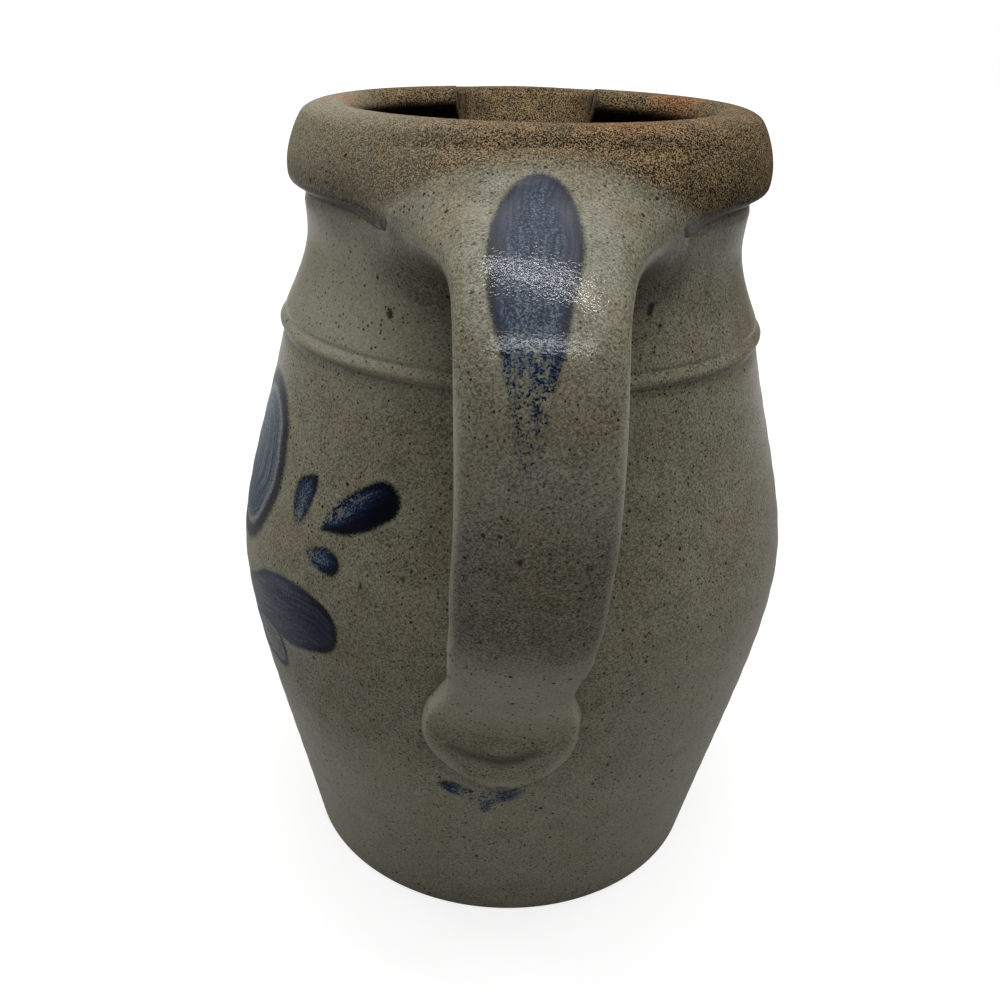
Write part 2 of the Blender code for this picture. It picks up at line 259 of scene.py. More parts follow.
# %% Turning an outline round the axis, and a skin over a grid of points
def turned(outline):
    """Grid of points round the axis, from one side of the cut to the other."""
    radius = outline[:, 0]
    height = outline[:, 1]
    gap = np.arcsin(np.clip(notch_half(height) / np.maximum(radius, 1e-5), 0, 1))
    share = np.linspace(-1, 1, COLUMNS + 1)
    angle = share[None, :] * (np.pi - gap)[:, None]
    grid = np.empty((len(outline), COLUMNS + 1, 3))
    grid[:, :, 0] = radius[:, None] * np.sin(angle)
    grid[:, :, 1] = -radius[:, None] * np.cos(angle)
    grid[:, :, 2] = height[:, None]
    return grid


def skinned(name, grid, ring=False, tube=False, more=()):
    """A mesh object over a grid of points. A ring closes the rows and a tube the columns."""
    rows, columns = grid.shape[:2]
    index = np.arange(rows * columns).reshape(rows, columns)
    if ring:
        index = np.vstack([index, index[:1]])
    if tube:
        index = np.hstack([index, index[:, :1]])
    corners = (index[:-1, :-1], index[:-1, 1:], index[1:, 1:], index[1:, :-1])
    faces = np.stack(corners, axis=-1).reshape(-1, 4).tolist()
    mesh = bpy.data.meshes.new(name)
    mesh.from_pydata(grid.reshape(-1, 3).tolist(), [], faces + [list(face) for face in more])
    piece = bpy.data.objects.new(name, mesh)
    bpy.context.scene.collection.objects.link(piece)
    return piece


def closed(piece):
    """Merges the points that fall together and turns every face outwards."""
    shape = bmesh.new()
    shape.from_mesh(piece.data)
    bmesh.ops.remove_doubles(shape, verts=shape.verts, dist=2e-6)
    large = [face for face in shape.faces if len(face.verts) > 4]
    bmesh.ops.triangulate(shape, faces=large)
    bmesh.ops.recalc_face_normals(shape, faces=shape.faces)
    loose = [edge for edge in shape.edges if not edge.is_manifold]
    shape.to_mesh(piece.data)
    shape.free()
    piece.data.shade_smooth()
    print(piece.name, len(piece.data.polygons), "faces,", len(loose), "open edges")
    return piece


print("rows of", COLUMNS + 1, "points")

# %% [markdown]
# ## The thrown body
#
# The outside and inside rows make one sheet from the middle of the base, up the outside, over the
# top of the neck and down to the middle of the floor. Inside the cut both sides use the same
# heights, so the cut's two walls are plain strips of quads. The potter's fingers left soft rings,
# deeper inside than outside, where a rib smoothed them. The same rib left a bead and two grooves at
# the shoulder ridge, and the neck is pressed in a little under the collar.

# %% Thrown body
SHOULDER_LOW = 0.15  # above this an outline has one radius at each height
notch_rows = NOTCH_BOTTOM + (SEAT_HEIGHT - NOTCH_BOTTOM) * np.linspace(0, 1, 15) ** 1.4


def with_notch_rows(outline):
    """The outline with its top part drawn again at the heights of the cut."""
    upper = outline[outline[:, 1] > SHOULDER_LOW]
    radius = np.interp(notch_rows, upper[:, 1], upper[:, 0])
    below = outline[outline[:, 1] < NOTCH_BOTTOM - 0.0005]
    return np.vstack([below, np.column_stack([radius, notch_rows])])


def with_bead_rows(outline):
    """The outline with rows every 0.35 mm where the bead of the ridge ends above."""
    heights = RIDGE_HEIGHT + np.arange(0.0013, 0.0054, 0.00035)
    upper = outline[outline[:, 1] > SHOULDER_LOW]
    radius = np.interp(heights, upper[:, 1], upper[:, 0])
    below = outline[outline[:, 1] < heights[0] - 0.0001]
    above = outline[outline[:, 1] > heights[-1] + 0.0003]
    return np.vstack([below, np.column_stack([radius, heights]), above])


RIB_RINGS = 0.0083
RIB_DEPTH = 0.00012
FINGER_RINGS = 0.0094
FINGER_DEPTH = 0.00035
COLLAR_GROOVE = 0.0009
# Height over the ridge, half height, and how far it stands out: a bead and a groove on each side
BEAD = ((0.0017, 0.0009, 0.00042), (0.0036, 0.0006, -0.00045), (-0.0012, 0.0011, -0.00050))
base = np.array([(0, 0), (0.015, 0), (0.030, 0), (0.045, 0), (0.055, 0)])
outer_rows = np.vstack([base, with_bead_rows(with_notch_rows(body_outside))])
inner_rows = with_notch_rows(body_inside)
rings = 0.5 + 0.5 * np.sin(2 * np.pi * outer_rows[:, 1] / RIB_RINGS + 1.1)
fade = eased(0.010, 0.030, outer_rows[:, 1]) * (1 - eased(0.150, 0.160, outer_rows[:, 1]))
outer_rows[:, 0] -= RIB_DEPTH * rings * fade
under_collar = eased(SEAT_HEIGHT - 0.0030, SEAT_HEIGHT - 0.0008, outer_rows[:, 1])
outer_rows[:, 0] -= COLLAR_GROOVE * under_collar
beading = np.zeros(len(outer_rows))
for over_ridge, half, out in BEAD:
    beading += out * np.exp(-(((outer_rows[:, 1] - RIDGE_HEIGHT - over_ridge) / half) ** 2))
outer_rows[:, 0] += beading
finger_rings = np.sin(2 * np.pi * inner_rows[:, 1] / FINGER_RINGS)
inner_rows[:, 0] += FINGER_DEPTH * finger_rings * eased(0.020, 0.035, inner_rows[:, 1])

body_grid = np.vstack([turned(outer_rows), turned(inner_rows[::-1])])
width = COLUMNS + 1
walls = []
for k in range(len(notch_rows) - 1):
    low_out = (len(outer_rows) - len(notch_rows) + k) * width
    low_in = (len(outer_rows) + len(notch_rows) - 1 - k) * width
    for side in (0, COLUMNS):
        high_in = low_in - width
        walls.append((low_out + side, low_out + width + side, high_in + side, low_in + side))
body = skinned("pitcher_body", body_grid, more=walls)
closed(body)

# %% [markdown]
# ## The rim collar
#
# A thick coil of clay was thrown round the mouth and rolled over, so its lower edge overhangs the
# neck and leaves a dark crevice. It is a closed outline turned in the same way as the body. Its two
# ends at the cut are filled.

# %% Rim collar
collar_low = SEAT_HEIGHT - 0.0003
collar_shoulder = (CROWN_RADIUS + 0.0076, RIM_HEIGHT - 0.0021)
collar_wide = (COLLAR_RADIUS, SEAT_HEIGHT + 0.0060)
collar_edge = (SEAT_RADIUS + 0.0014, SEAT_HEIGHT + 0.0010)
collar_narrow = (THROAT_RADIUS, RIM_HEIGHT - 0.0050)
collar_outline = joined(
    bezier(
        (SEAT_RADIUS - WALL + 0.0003, collar_low),
        (SEAT_RADIUS - WALL - 0.0015, collar_low + 0.0050),
        (THROAT_RADIUS, RIM_HEIGHT - 0.0105),
        collar_narrow,
        16,
    ),
    bezier(
        collar_narrow,
        (THROAT_RADIUS, RIM_HEIGHT - 0.0018),
        (CROWN_RADIUS - 0.0026, RIM_HEIGHT),
        (CROWN_RADIUS, RIM_HEIGHT),
        12,
    ),
    bezier(
        (CROWN_RADIUS, RIM_HEIGHT),
        (CROWN_RADIUS + 0.0034, RIM_HEIGHT),
        (CROWN_RADIUS + 0.0060, RIM_HEIGHT - 0.0007),
        collar_shoulder,
        9,
    ),
    bezier(
        collar_shoulder,
        (COLLAR_RADIUS - 0.0028, RIM_HEIGHT - 0.0036),
        (COLLAR_RADIUS, collar_wide[1] + 0.0050),
        collar_wide,
        18,
    ),
    bezier(
        collar_wide,
        (COLLAR_RADIUS, collar_wide[1] - 0.0040),
        (collar_edge[0] + 0.0018, collar_edge[1] + 0.0010),
        collar_edge,
        14,
    ),
    bezier(
        collar_edge,
        (SEAT_RADIUS + 0.0006, SEAT_HEIGHT + 0.0002),
        (SEAT_RADIUS + 0.0001, SEAT_HEIGHT - 0.0002),
        (SEAT_RADIUS - 0.0010, collar_low),
        5,
    ),
)
collar_grid = turned(collar_outline)
ends = []
for side in (0, COLUMNS):
    ends.append([row * width + side for row in range(len(collar_outline))])
collar = skinned("pitcher_rim_collar", collar_grid, ring=True, more=ends)
closed(collar)

# %% [markdown]
# ## The spout
#
# The spout is a bent trough of clay. Each row is a U in plan that gets wider and reaches further out
# towards the lip. The outside rows, the rounded lip and the inside rows follow one another, so every
# column of the grid is a closed ring. Its two ends are hidden in the wall of the collar.

# %% Pouring spout
SPOUT_REACH = 0.0255
SPOUT_DROOP = 0.0018
SPOUT_INSET = 0.0004  # the skin stays this much inside the sizes
COLLAR_FACE = slice(28, 66)  # rows of the collar from its crown down to its lower edge


def skin_radius(height):
    """Outer radius of neck and collar at a height."""
    collar_face = collar_outline[COLLAR_FACE][::-1]
    neck_face = body_outside[body_outside[:, 1] > SHOULDER_LOW]
    face = np.vstack([neck_face, collar_face[collar_face[:, 1] > SEAT_HEIGHT]])
    order = np.argsort(face[:, 1])
    return np.interp(height, face[order, 1], face[order, 0])


def spout_line(share, inset, lower):
    """One U-shaped row of the spout in plan: along one side, round the nose and back."""
    half = spout_half(share) - inset
    nose = SEAT_RADIUS + 0.0022 + SPOUT_REACH * share**1.25 - 1.25 * inset
    turn_from = min(math.sqrt(SEAT_RADIUS**2 - half**2), nose - 0.0008)
    level = SPOUT_TOP - SPOUT_DEPTH * (1 - share) + 1.6 * inset * (1 - share) - lower
    start = math.sqrt(max(skin_radius(level) ** 2 - half**2, 0)) - 0.0030
    start = min(start, turn_from - 0.0005)
    turn = np.linspace(-np.pi / 2, np.pi / 2, 61)
    reach = turn_from + (nose - turn_from) * np.cos(turn) ** 1.15
    droop = SPOUT_DROOP * share**3 * (reach - turn_from) / (nose - turn_from)
    nose_part = np.column_stack([half * np.sin(turn), reach, level - droop])
    steps = np.linspace(start, turn_from, 5)[:-1]
    side = np.column_stack([np.full(4, -half), steps, np.full(4, level)])
    other = side[::-1] * np.array([-1, 1, 1])
    return np.vstack([side, nose_part, other])


shares = np.linspace(0, 1, 34)
lip = np.linspace(0, np.pi, 11)
lip_inset = SPOUT_WALL / 2 - (SPOUT_WALL / 2) * np.cos(lip)
lip_lower = 0.0014 * (1 - np.sin(lip))
spout_rows = [spout_line(share, SPOUT_INSET, 0) for share in shares[:-1]]
spout_rows += [spout_line(1, inset + SPOUT_INSET, low) for inset, low in zip(lip_inset, lip_lower)]
spout_rows += [spout_line(share, SPOUT_WALL + SPOUT_INSET, 0) for share in shares[-2::-1]]
spout_grid = np.array(spout_rows)
spout_caps = []
for side in (0, spout_grid.shape[1] - 1):
    spout_caps.append([row * spout_grid.shape[1] + side for row in range(len(spout_rows))])
spout = skinned("pitcher_spout", spout_grid, ring=True, more=spout_caps)
row_outside = np.arange(len(spout_rows)) < len(shares) - 4
layer = spout.data.attributes.new("spout_outside", "FLOAT", "POINT")
layer.data.foreach_set("value", np.repeat(row_outside, spout_grid.shape[1]).astype(np.float32))
closed(spout)

# %% [markdown]
# ## The strap handle
#
# The handle was pulled from a lump of clay: a strap that is broad and flared where it is wiped onto
# the collar, even along the grip, and pressed flat with the thumb at its tail. A bevelled curve
# could follow the path, but its section can't change from a stout root to a strap to a dished pad.
# So sections are placed along the path and skinned, each with its own width, thickness and hollow.

# %% Path of the handle
HANDLE_REACH = 0.1112
GRIP_HEIGHT = 0.1650
STRAP_BEND = (0.0990, 0.1936)
LANDING = (0.0877, 0.0924)
TAIL_TIP = (0.0756, 0.0581)
STRAP_WIDTH = 0.0332
STRAP_THICKNESS = 0.0112
ROOT_INNER = 0.0562  # the root ends here, inside the wall of the collar
STATIONS = 190
AROUND = 72

span = GRIP_HEIGHT - LANDING[1]
drop = LANDING[1] - TAIL_TIP[1]
path = joined(
    bezier((0.0522, 0.2136), (0.0732, 0.2114), (0.0870, 0.2032), STRAP_BEND, 60),
    bezier(STRAP_BEND, (0.1060, 0.1880), (HANDLE_REACH, 0.1780), (HANDLE_REACH, GRIP_HEIGHT), 50),
    bezier(
        (HANDLE_REACH, GRIP_HEIGHT),
        (HANDLE_REACH, GRIP_HEIGHT - 0.33 * span),
        (LANDING[0] + 0.0120, LANDING[1] + 0.28 * span),
        LANDING,
        80,
    ),
    bezier(
        LANDING,
        (LANDING[0] - 0.0040, LANDING[1] - 0.24 * drop),
        (0.0827, 0.0718),
        TAIL_TIP,
        60,
    ),
)
steps = np.hypot(*np.diff(path, axis=0).T)
travelled = np.concatenate([[0], np.cumsum(steps)])
strap_length = travelled[-1]
station = np.linspace(0, 1, STATIONS)
path_y = np.interp(station * strap_length, travelled, path[:, 0])
path_z = np.interp(station * strap_length, travelled, path[:, 1])
print("strap is", round(1000 * strap_length), "mm long")


# %% Widths, thicknesses, leans and hollows along the strap, in metres
def along_table(table):
    """Smooth values at every station from a table of (share of the length, value)."""
    values = np.full(STATIONS, table[-1][1], float)
    for (s0, v0), (s1, v1) in reversed(list(zip(table, table[1:]))):
        inside = station <= s1
        values[inside] = v0 + (v1 - v0) * eased(s0, s1, station[inside])
    return values


widths = along_table(
    [
        (0, 0.0336),
        (0.42, STRAP_WIDTH),
        (0.64, 0.0341),
        (0.73, 0.0335),
        (0.81, 0.0308),
        (0.88, 0.0388),
        (1, 0.0382),
    ]
)
thicks = along_table(
    [
        (0, 0.0122),
        (0.45, STRAP_THICKNESS),
        (0.80, 0.0116),
        (1, STRAP_THICKNESS),
    ]
)
leans = along_table(
    [
        (0, 0.00120),
        (0.25, 0.00288),
        (0.50, 0.00375),
        (0.66, 0.00300),
        (0.73, 0.00215),
        (0.79, 0.00095),
        (0.86, -0.00140),
        (0.90, -0.00180),
        (1, -0.00072),
    ]
)
hollows = along_table([(0, 0), (0.80, 0), (0.950, 0.0022), (0.960, 0.0022), (0.988, 0), (1, 0)])
arches = along_table([(0, 0.0030), (0.06, 0.0030), (0.22, 0), (1, 0)])
edge_power = along_table([(0, 1.0), (0.10, 0.95), (0.24, 0.70), (1, 0.70)])
flare = np.exp(-((station / 0.1430) ** 2))  # the root was wiped on broad and stout
widths = widths + 0.0322 * flare
thicks = thicks + 0.0180 * flare
past = np.clip((station - 0.90) / 0.104, 0, 1)
widths = widths * np.sqrt(1 - past**2)
print("root is", round(1000 * widths[0]), "mm wide and", round(1000 * thicks[0]), "mm thick")

# %% Strap handle
slope_y = np.gradient(path_y)
slope_z = np.gradient(path_z)
size = np.hypot(slope_y, slope_z)
out_y = slope_z / size
out_z = slope_y / size
turn = 2 * np.pi * np.arange(AROUND) / AROUND
across_share = np.sign(np.cos(turn)) * np.abs(np.cos(turn))[None, :] ** edge_power[:, None]
across = across_share * widths[:, None] / 2
rise_share = np.sign(np.sin(turn)) * np.abs(np.sin(turn)) ** 0.90
lift = thicks[:, None] / 2 * (rise_share[None, :] - 1)
outer_face = np.sin(turn)[None, :] > 0.02
lift = lift - outer_face * hollows[:, None] * (1 - np.abs(across_share) ** 3)
lift = lift - arches[:, None] * np.abs(across_share) ** 1.8
wrap = (1 - eased(0.02, 0.16, station))[:, None]
from_axis = np.clip(np.abs(across + leans[:, None]), 0, 0.050)
bowed = wrap * (COLLAR_RADIUS - np.sqrt(COLLAR_RADIUS**2 - from_axis**2))
handle_grid = np.empty((STATIONS, AROUND, 3))
handle_grid[:, :, 0] = leans[:, None] + across
handle_grid[:, :, 1] = -path_y[:, None] + out_y[:, None] * lift + bowed
handle_grid[:, :, 2] = path_z[:, None] + out_z[:, None] * lift
inward = np.linspace(1, 0, 16)[:-1, None] * np.array([[0, 0.030, -0.010]])
deep_grid = np.vstack([handle_grid[:1] + inward[:, None, :], handle_grid])
from_middle = np.hypot(handle_grid[:, :, 0], handle_grid[:, :, 1])
stay_in_wall = np.where(station[:, None] < 0.12, np.maximum(1, ROOT_INNER / from_middle), 1)
handle_grid[:, :, :2] *= stay_in_wall[:, :, None]
handle_caps = [range(AROUND), range((STATIONS - 1) * AROUND, STATIONS * AROUND)]
handle = skinned("pitcher_strap_handle", handle_grid, tube=True, more=handle_caps)
for name, values in (
    ("along_strap", np.repeat(station[:, None] * strap_length, AROUND, 1)),
    ("across_strap", across),
    ("strap_face", np.repeat(np.sin(turn)[None, :], STATIONS, 0)),
):
    layer = handle.data.attributes.new(name, "FLOAT", "POINT")
    layer.data.foreach_set("value", values.astype(np.float32).ravel())
closed(handle)

# %% [markdown]
# ## Wiping the clay together
#
# Wet clay joins are wiped smooth, so there is no seam at the root of the handle: collar, neck and
# strap run into one another in a hollow curve. A Boolean with a bevel could make it, but it would
# break the clean grid. Instead each point near the other piece is lifted along its own normal by the
# height of a rounded fillet at that distance: nothing at the end of its reach, and most where the two
# meet. Further in the lift falls away under the other skin, so the two cross in one line.


# %% Helpers that read and move the points of a piece
def points_of(piece):
    """Places of all points of a piece."""
    flat = np.empty(len(piece.data.vertices) * 3, np.float32)
    piece.data.vertices.foreach_get("co", flat)
    return flat.reshape(-1, 3).astype(float)


def normals_of(piece):
    """Normals of all points of a piece."""
    flat = np.empty(len(piece.data.vertices) * 3, np.float32)
    piece.data.vertex_normals.foreach_get("vector", flat)
    return flat.reshape(-1, 3).astype(float)


def values_of(piece, name):
    """A stored value at all points of a piece."""
    flat = np.empty(len(piece.data.vertices), np.float32)
    piece.data.attributes[name].data.foreach_get("value", flat)
    return flat.astype(float)


def place(piece, points):
    """Moves all points of a piece."""
    piece.data.vertices.foreach_set("co", points.astype(np.float32).ravel())
    piece.data.update()


# %% Helpers that measure the gap to another piece
def tree_of(*pieces):
    """Search tree over the faces of some pieces."""
    points = []
    faces = []
    for piece in pieces:
        first = len(points)
        points.extend(points_of(piece).tolist())
        faces.extend([[first + v for v in face.vertices] for face in piece.data.polygons])
    return BVHTree.FromPolygons(points, faces)


def gap_to(tree, point, limit):
    """Distance of a point outside the skin in a tree, less than 0 inside, and the skin's normal."""
    found, facing, _, distance = tree.find_nearest(point, limit)
    if found is None:
        return limit, None
    facing = np.array(facing)
    inside = np.dot(point - np.array(found), facing) < 0
    return (-distance if inside else distance), facing


# %% The lift of a fillet
def wiped(piece, other, reach):
    """Points of a piece after wiping it to another over a reach given for each point.

    The lift is that of a smooth union of the two solids: a quarter of the reach where they meet.
    """
    points = points_of(piece)
    normals = normals_of(piece)
    height = np.zeros(len(points))
    for k in np.flatnonzero(reach > 0):
        full = reach[k]
        gap, facing = gap_to(other, points[k], full)
        if facing is None:
            continue
        apart = max(1 - np.dot(normals[k], facing), 1e-3)
        left = full - gap
        middle = 4 * full - 2 * left * apart
        root = middle**2 - 4 * apart**2 * left**2
        under = full / 4 * apart - gap
        if under > 0:
            climb = 0.9 / max(2 - apart, 0.5)
            height[k] = max(full / 4 + climb * under * (1 - 3 * under / full), -0.0016)
        elif root > 0:
            height[k] = (middle - math.sqrt(root)) / (2 * apart**2)
        else:
            height[k] = full / 4
    edges = np.empty(len(piece.data.edges) * 2, np.int32)
    piece.data.edges.foreach_get("vertices", edges)
    one, two = edges.reshape(-1, 2).T
    count = np.bincount(edges, minlength=len(points))
    for _ in range(2):
        total = np.bincount(one, height[two], len(points)) + np.bincount(two, height[one], len(points))
        height = np.where(reach > 0, 0.5 * height + 0.5 * total / count, height)
    return points + normals * height[:, None]


# %% Skins to wipe against
# This copy of the handle goes on into the pot, so the end of its root is never the nearest skin
deep_caps = [range(AROUND), range((len(deep_grid) - 1) * AROUND, len(deep_grid) * AROUND)]
deep_handle = closed(skinned("handle_with_deep_root", deep_grid, tube=True, more=deep_caps))
pot_tree = tree_of(body, collar)
handle_tree = tree_of(deep_handle)
spout_tree = tree_of(spout)
bpy.data.objects.remove(deep_handle)

# %% Wipe handle and spout to the pot
ROOT_WIPE = 0.0150
SPOUT_WIPE = 0.0050


def pot_wipe(piece, tree, reach, near):
    """Wipes the outside of body or collar to a piece that was luted on."""
    points = points_of(piece)
    facing_out = (normals_of(piece) * points)[:, :2].sum(1) > 0
    far_out = np.hypot(points[:, 0], points[:, 1]) > 0.0500
    return wiped(piece, tree, np.where(facing_out & far_out, reach * near(points), 0))


def by_handle(points):
    """The back of the pot round the root of the handle."""
    behind = (points[:, 1] < -FRONT) & (points[:, 2] > NECK_LOW)
    return behind * (1 - eased(0.213, 0.219, points[:, 2]))


def by_spout(points):
    """The front of the pot beside and below the spout, but not the walls of the cut."""
    clear = np.abs(points[:, 0]) > notch_half(points[:, 2]) + 0.0030
    front = (points[:, 1] > FRONT) & (points[:, 2] > NECK_LOW)
    return front * (clear | (points[:, 2] < NOTCH_BOTTOM)) * (1 - eased(0.210, 0.218, points[:, 2]))


strap_share = values_of(handle, "along_strap") / strap_length
root_reach = ROOT_WIPE * (1 - eased(0.30, 0.45, strap_share))
tail_reach = 0.0030 * eased(0.74, 0.80, strap_share)
moved_handle = wiped(handle, pot_tree, root_reach + tail_reach)
on_outside = values_of(spout, "spout_outside") > 0.5
moved_spout = wiped(spout, pot_tree, np.where(on_outside, SPOUT_WIPE, 0))
for piece in (body, collar):
    place(piece, pot_wipe(piece, handle_tree, ROOT_WIPE, by_handle))
for piece in (body, collar):
    place(piece, pot_wipe(piece, spout_tree, SPOUT_WIPE, by_spout))
place(handle, moved_handle)
place(spout, moved_spout)
print("root wiped over", round(1000 * ROOT_WIPE, 1), "mm")

# %% [markdown]
# ## A hand-made pot is never quite true
#
# The rim dips about a millimetre and a half to the left and leans a little to the side. All four
# pieces get the same warp, worked out from the place of a point alone, so they stay joined.

# %% Warp of the rim
RIM_TILT = 0.0120
RIM_LEFT = -0.066
RIM_RIGHT = 0.063
for piece in (body, collar, spout, handle):
    points = points_of(piece)
    high = eased(0.170, 0.215, points[:, 2])
    near_axis = 1 - eased(0.070, 0.100, np.abs(points[:, 1]))
    from_right = np.clip(points[:, 0], RIM_LEFT, RIM_RIGHT) - RIM_RIGHT
    points[:, 2] += RIM_TILT * from_right * high * near_axis
    points[:, 0] += (0.0007 - 0.0013 * eased(0, 0.055, points[:, 1])) * high * near_axis
    place(piece, points)
print("rim tilted by", round(1000 * RIM_TILT * (RIM_RIGHT - RIM_LEFT), 1), "mm")

# %% [markdown]
# ## Cobalt brushwork, as numbers on the clay
#
# The decorator dipped a brush in cobalt slip and laid down petals, leaves and drops: each stroke is
# pressed on wide and lifted to a point. A painted image could hold them, but a stroke is really a
# path with a width, so each one is a row of discs along its middle line. Every point of the mesh
# stores how deep it lies inside the nearest stroke. The material turns that depth into an edge,
# which stays sharp between the points because a distance changes evenly.
#
# The strokes on the far side, which the photograph doesn't show, mirror the ones that it does, and
# the stem between them is a guess.

# %% Brush strokes on the body: azimuth in degrees, height, half width in mm, load, pooling, purple
PETAL = [
    (-71.0, 122.5, 18.0, 0.38, 2.00, 0),
    (-70.3, 128.5, 20.3, 0.34, 2.00, 0),
    (-70.4, 134.0, 18.8, 0.30, 2.00, 0),
]
DROPS = [
    [
        (-39.4, 123.4, 0.6, 0.30, 0.6, 0),
        (-37.0, 125.6, 2.4, 0.30, 0.7, 0),
        (-33.6, 128.4, 4.6, 0.42, 0.9, 0),
        (-29.7, 131.6, 5.4, 0.66, 1.0, 0),
        (-26.2, 134.5, 5.2, 1.00, 1.0, 0),
    ],
    [
        (-43.2, 134.9, 0.8, 0.70, 0.3, 0),
        (-44.4, 132.8, 2.6, 0.42, 0.5, 0),
        (-45.9, 130.2, 4.0, 0.28, 0.5, 0),
        (-46.4, 127.0, 3.6, 0.20, 0.4, 0),
        (-46.7, 123.2, 2.0, 0.02, 0.2, 0),
    ],
    [
        (-42.0, 116.2, 1.2, 0.00, 0.1, 0),
        (-39.5, 116.0, 2.6, 0.12, 0.2, 0),
        (-37.4, 116.2, 3.5, 0.30, 0.3, 0),
        (-35.8, 115.7, 3.1, 0.56, 0.5, 0),
    ],
]
LEAVES = [
    [
        (-72.0, 76.0, 3.0, -0.04, 1.0, 0.7),
        (-66.0, 78.0, 5.5, -0.04, 1.0, 0.7),
        (-60.0, 79.8, 7.4, -0.04, 1.1, 0.7),
        (-56.0, 80.3, 7.8, -0.02, 1.2, 0.7),
    ],
    [
        (-72.0, 87.6, 3.0, 0.08, 0.4, 0.9),
        (-65.9, 90.5, 5.0, 0.10, 0.4, 0.9),
        (-59.1, 93.5, 6.4, 0.14, 0.3, 0.9),
        (-54.4, 95.0, 8.8, 0.20, 0.3, 0.9),
        (-48.7, 95.6, 10.3, 0.28, 0.3, 0.8),
        (-43.0, 96.9, 9.4, 0.44, 0.4, 0.7),
        (-38.7, 97.3, 7.9, 0.64, 0.5, 0.5),
        (-36.6, 93.6, 3.2, 0.90, 0.3, 0.3),
        (-35.6, 91.7, 0.9, 0.90, 0.2, 0.3),
    ],
]
FLOWER_AXIS = -82.0
STEM = [
    (FLOWER_AXIS, 108.0, 2.2, 0.50, 0.4, 0.3),
    (FLOWER_AXIS, 90.0, 1.6, 0.60, 0.4, 0.3),
    (FLOWER_AXIS - 1.0, 66.0, 1.4, 0.55, 0.4, 0.3),
    (FLOWER_AXIS - 3.0, 56.0, 0.5, 0.40, 0.4, 0.3),
]
SMEAR = [
    (-12.4, 56.0, 1.5, 0.50, 0, 0.2),
    (-10.8, 54.9, 2.3, 0.36, 0, 0.2),
    (-8.2, 53.7, 2.2, -0.04, 0, 0.2),
    (-5.0, 52.7, 2.3, -0.12, 0, 0.2),
    (-2.0, 52.7, 2.4, 0.00, 0, 0.2),
    (0.6, 53.7, 2.2, 0.36, 0, 0.2),
    (2.8, 55.6, 1.3, 0.06, 0, 0.2),
]
DRIP = [(-3.4, 51.4, 1.7, 0.04, 0, 0.2), (-4.0, 47.4, 1.3, 0.18, 0, 0.2)]
print(len(PETAL), "places along the petal")


# %% All strokes on the body
def mirrored(rows):
    """A stroke on the other side of the flower's stem."""
    return [(2 * FLOWER_AXIS - row[0], *row[1:]) for row in rows]


seen_strokes = [PETAL, *LEAVES, *DROPS]
body_strokes = [mirrored(rows) for rows in seen_strokes] + [STEM] + seen_strokes + [SMEAR, DRIP]
BIG_DROPS = (DROPS[0], mirrored(DROPS[0]))  # loaded more on the side that faces away from the leaf
DROP_LEAN = -0.85
PETALS = (PETAL, mirrored(PETAL))  # lined strokes: drawn round and round, with a scratched line
print(len(body_strokes), "strokes on the body")

# %% Brushed leaf on the handle: across the strap and along it in mm, then as above
HANDLE_LEAF = [
    (0.3, 18.4, 0.6, 0.42, 0.3, 0.8),
    (0.0, 19.2, 3.4, 0.42, 0.3, 0.8),
    (-0.4, 20.6, 5.1, 0.42, 0.3, 0.8),
    (-0.7, 22.6, 6.6, 0.40, 0.4, 0.9),
    (-1.1, 26.4, 8.1, 0.40, 0.5, 1.0),
    (-1.4, 31.5, 9.1, 0.40, 0.6, 1.0),
    (-1.6, 39.2, 9.6, 0.40, 0.7, 0.9),
    (-2.0, 46.0, 9.0, 0.42, 1.2, 0.2),
    (-2.2, 51.0, 8.2, 0.40, 1.2, 0),
    (-2.1, 56.1, 7.2, 0.34, 1.0, 0),
    (-1.7, 61.2, 6.1, 0.16, 0.6, 0),
    (-2.1, 65.9, 5.0, 0.02, 0.3, 0),
    (-2.1, 71.7, 3.8, -0.14, 0.1, 0),
    (-1.9, 82.0, 2.6, -0.46, 0, 0),
]
print("leaf is", round(HANDLE_LEAF[-1][1] - HANDLE_LEAF[0][1]), "mm long")

# %% Depth inside a stroke
FAR_OUT = -50  # depth of a point that lies in no stroke
DISCS = 48
MARGIN_MM = 8
LINED_DEPTH = 0.55  # a lined stroke has a broader dark edge
MARKS = (
    "cobalt_depth",
    "cobalt_load",
    "cobalt_pool",
    "cobalt_purple",
    "cobalt_across",
    "cobalt_along",
    "cobalt_line",
)


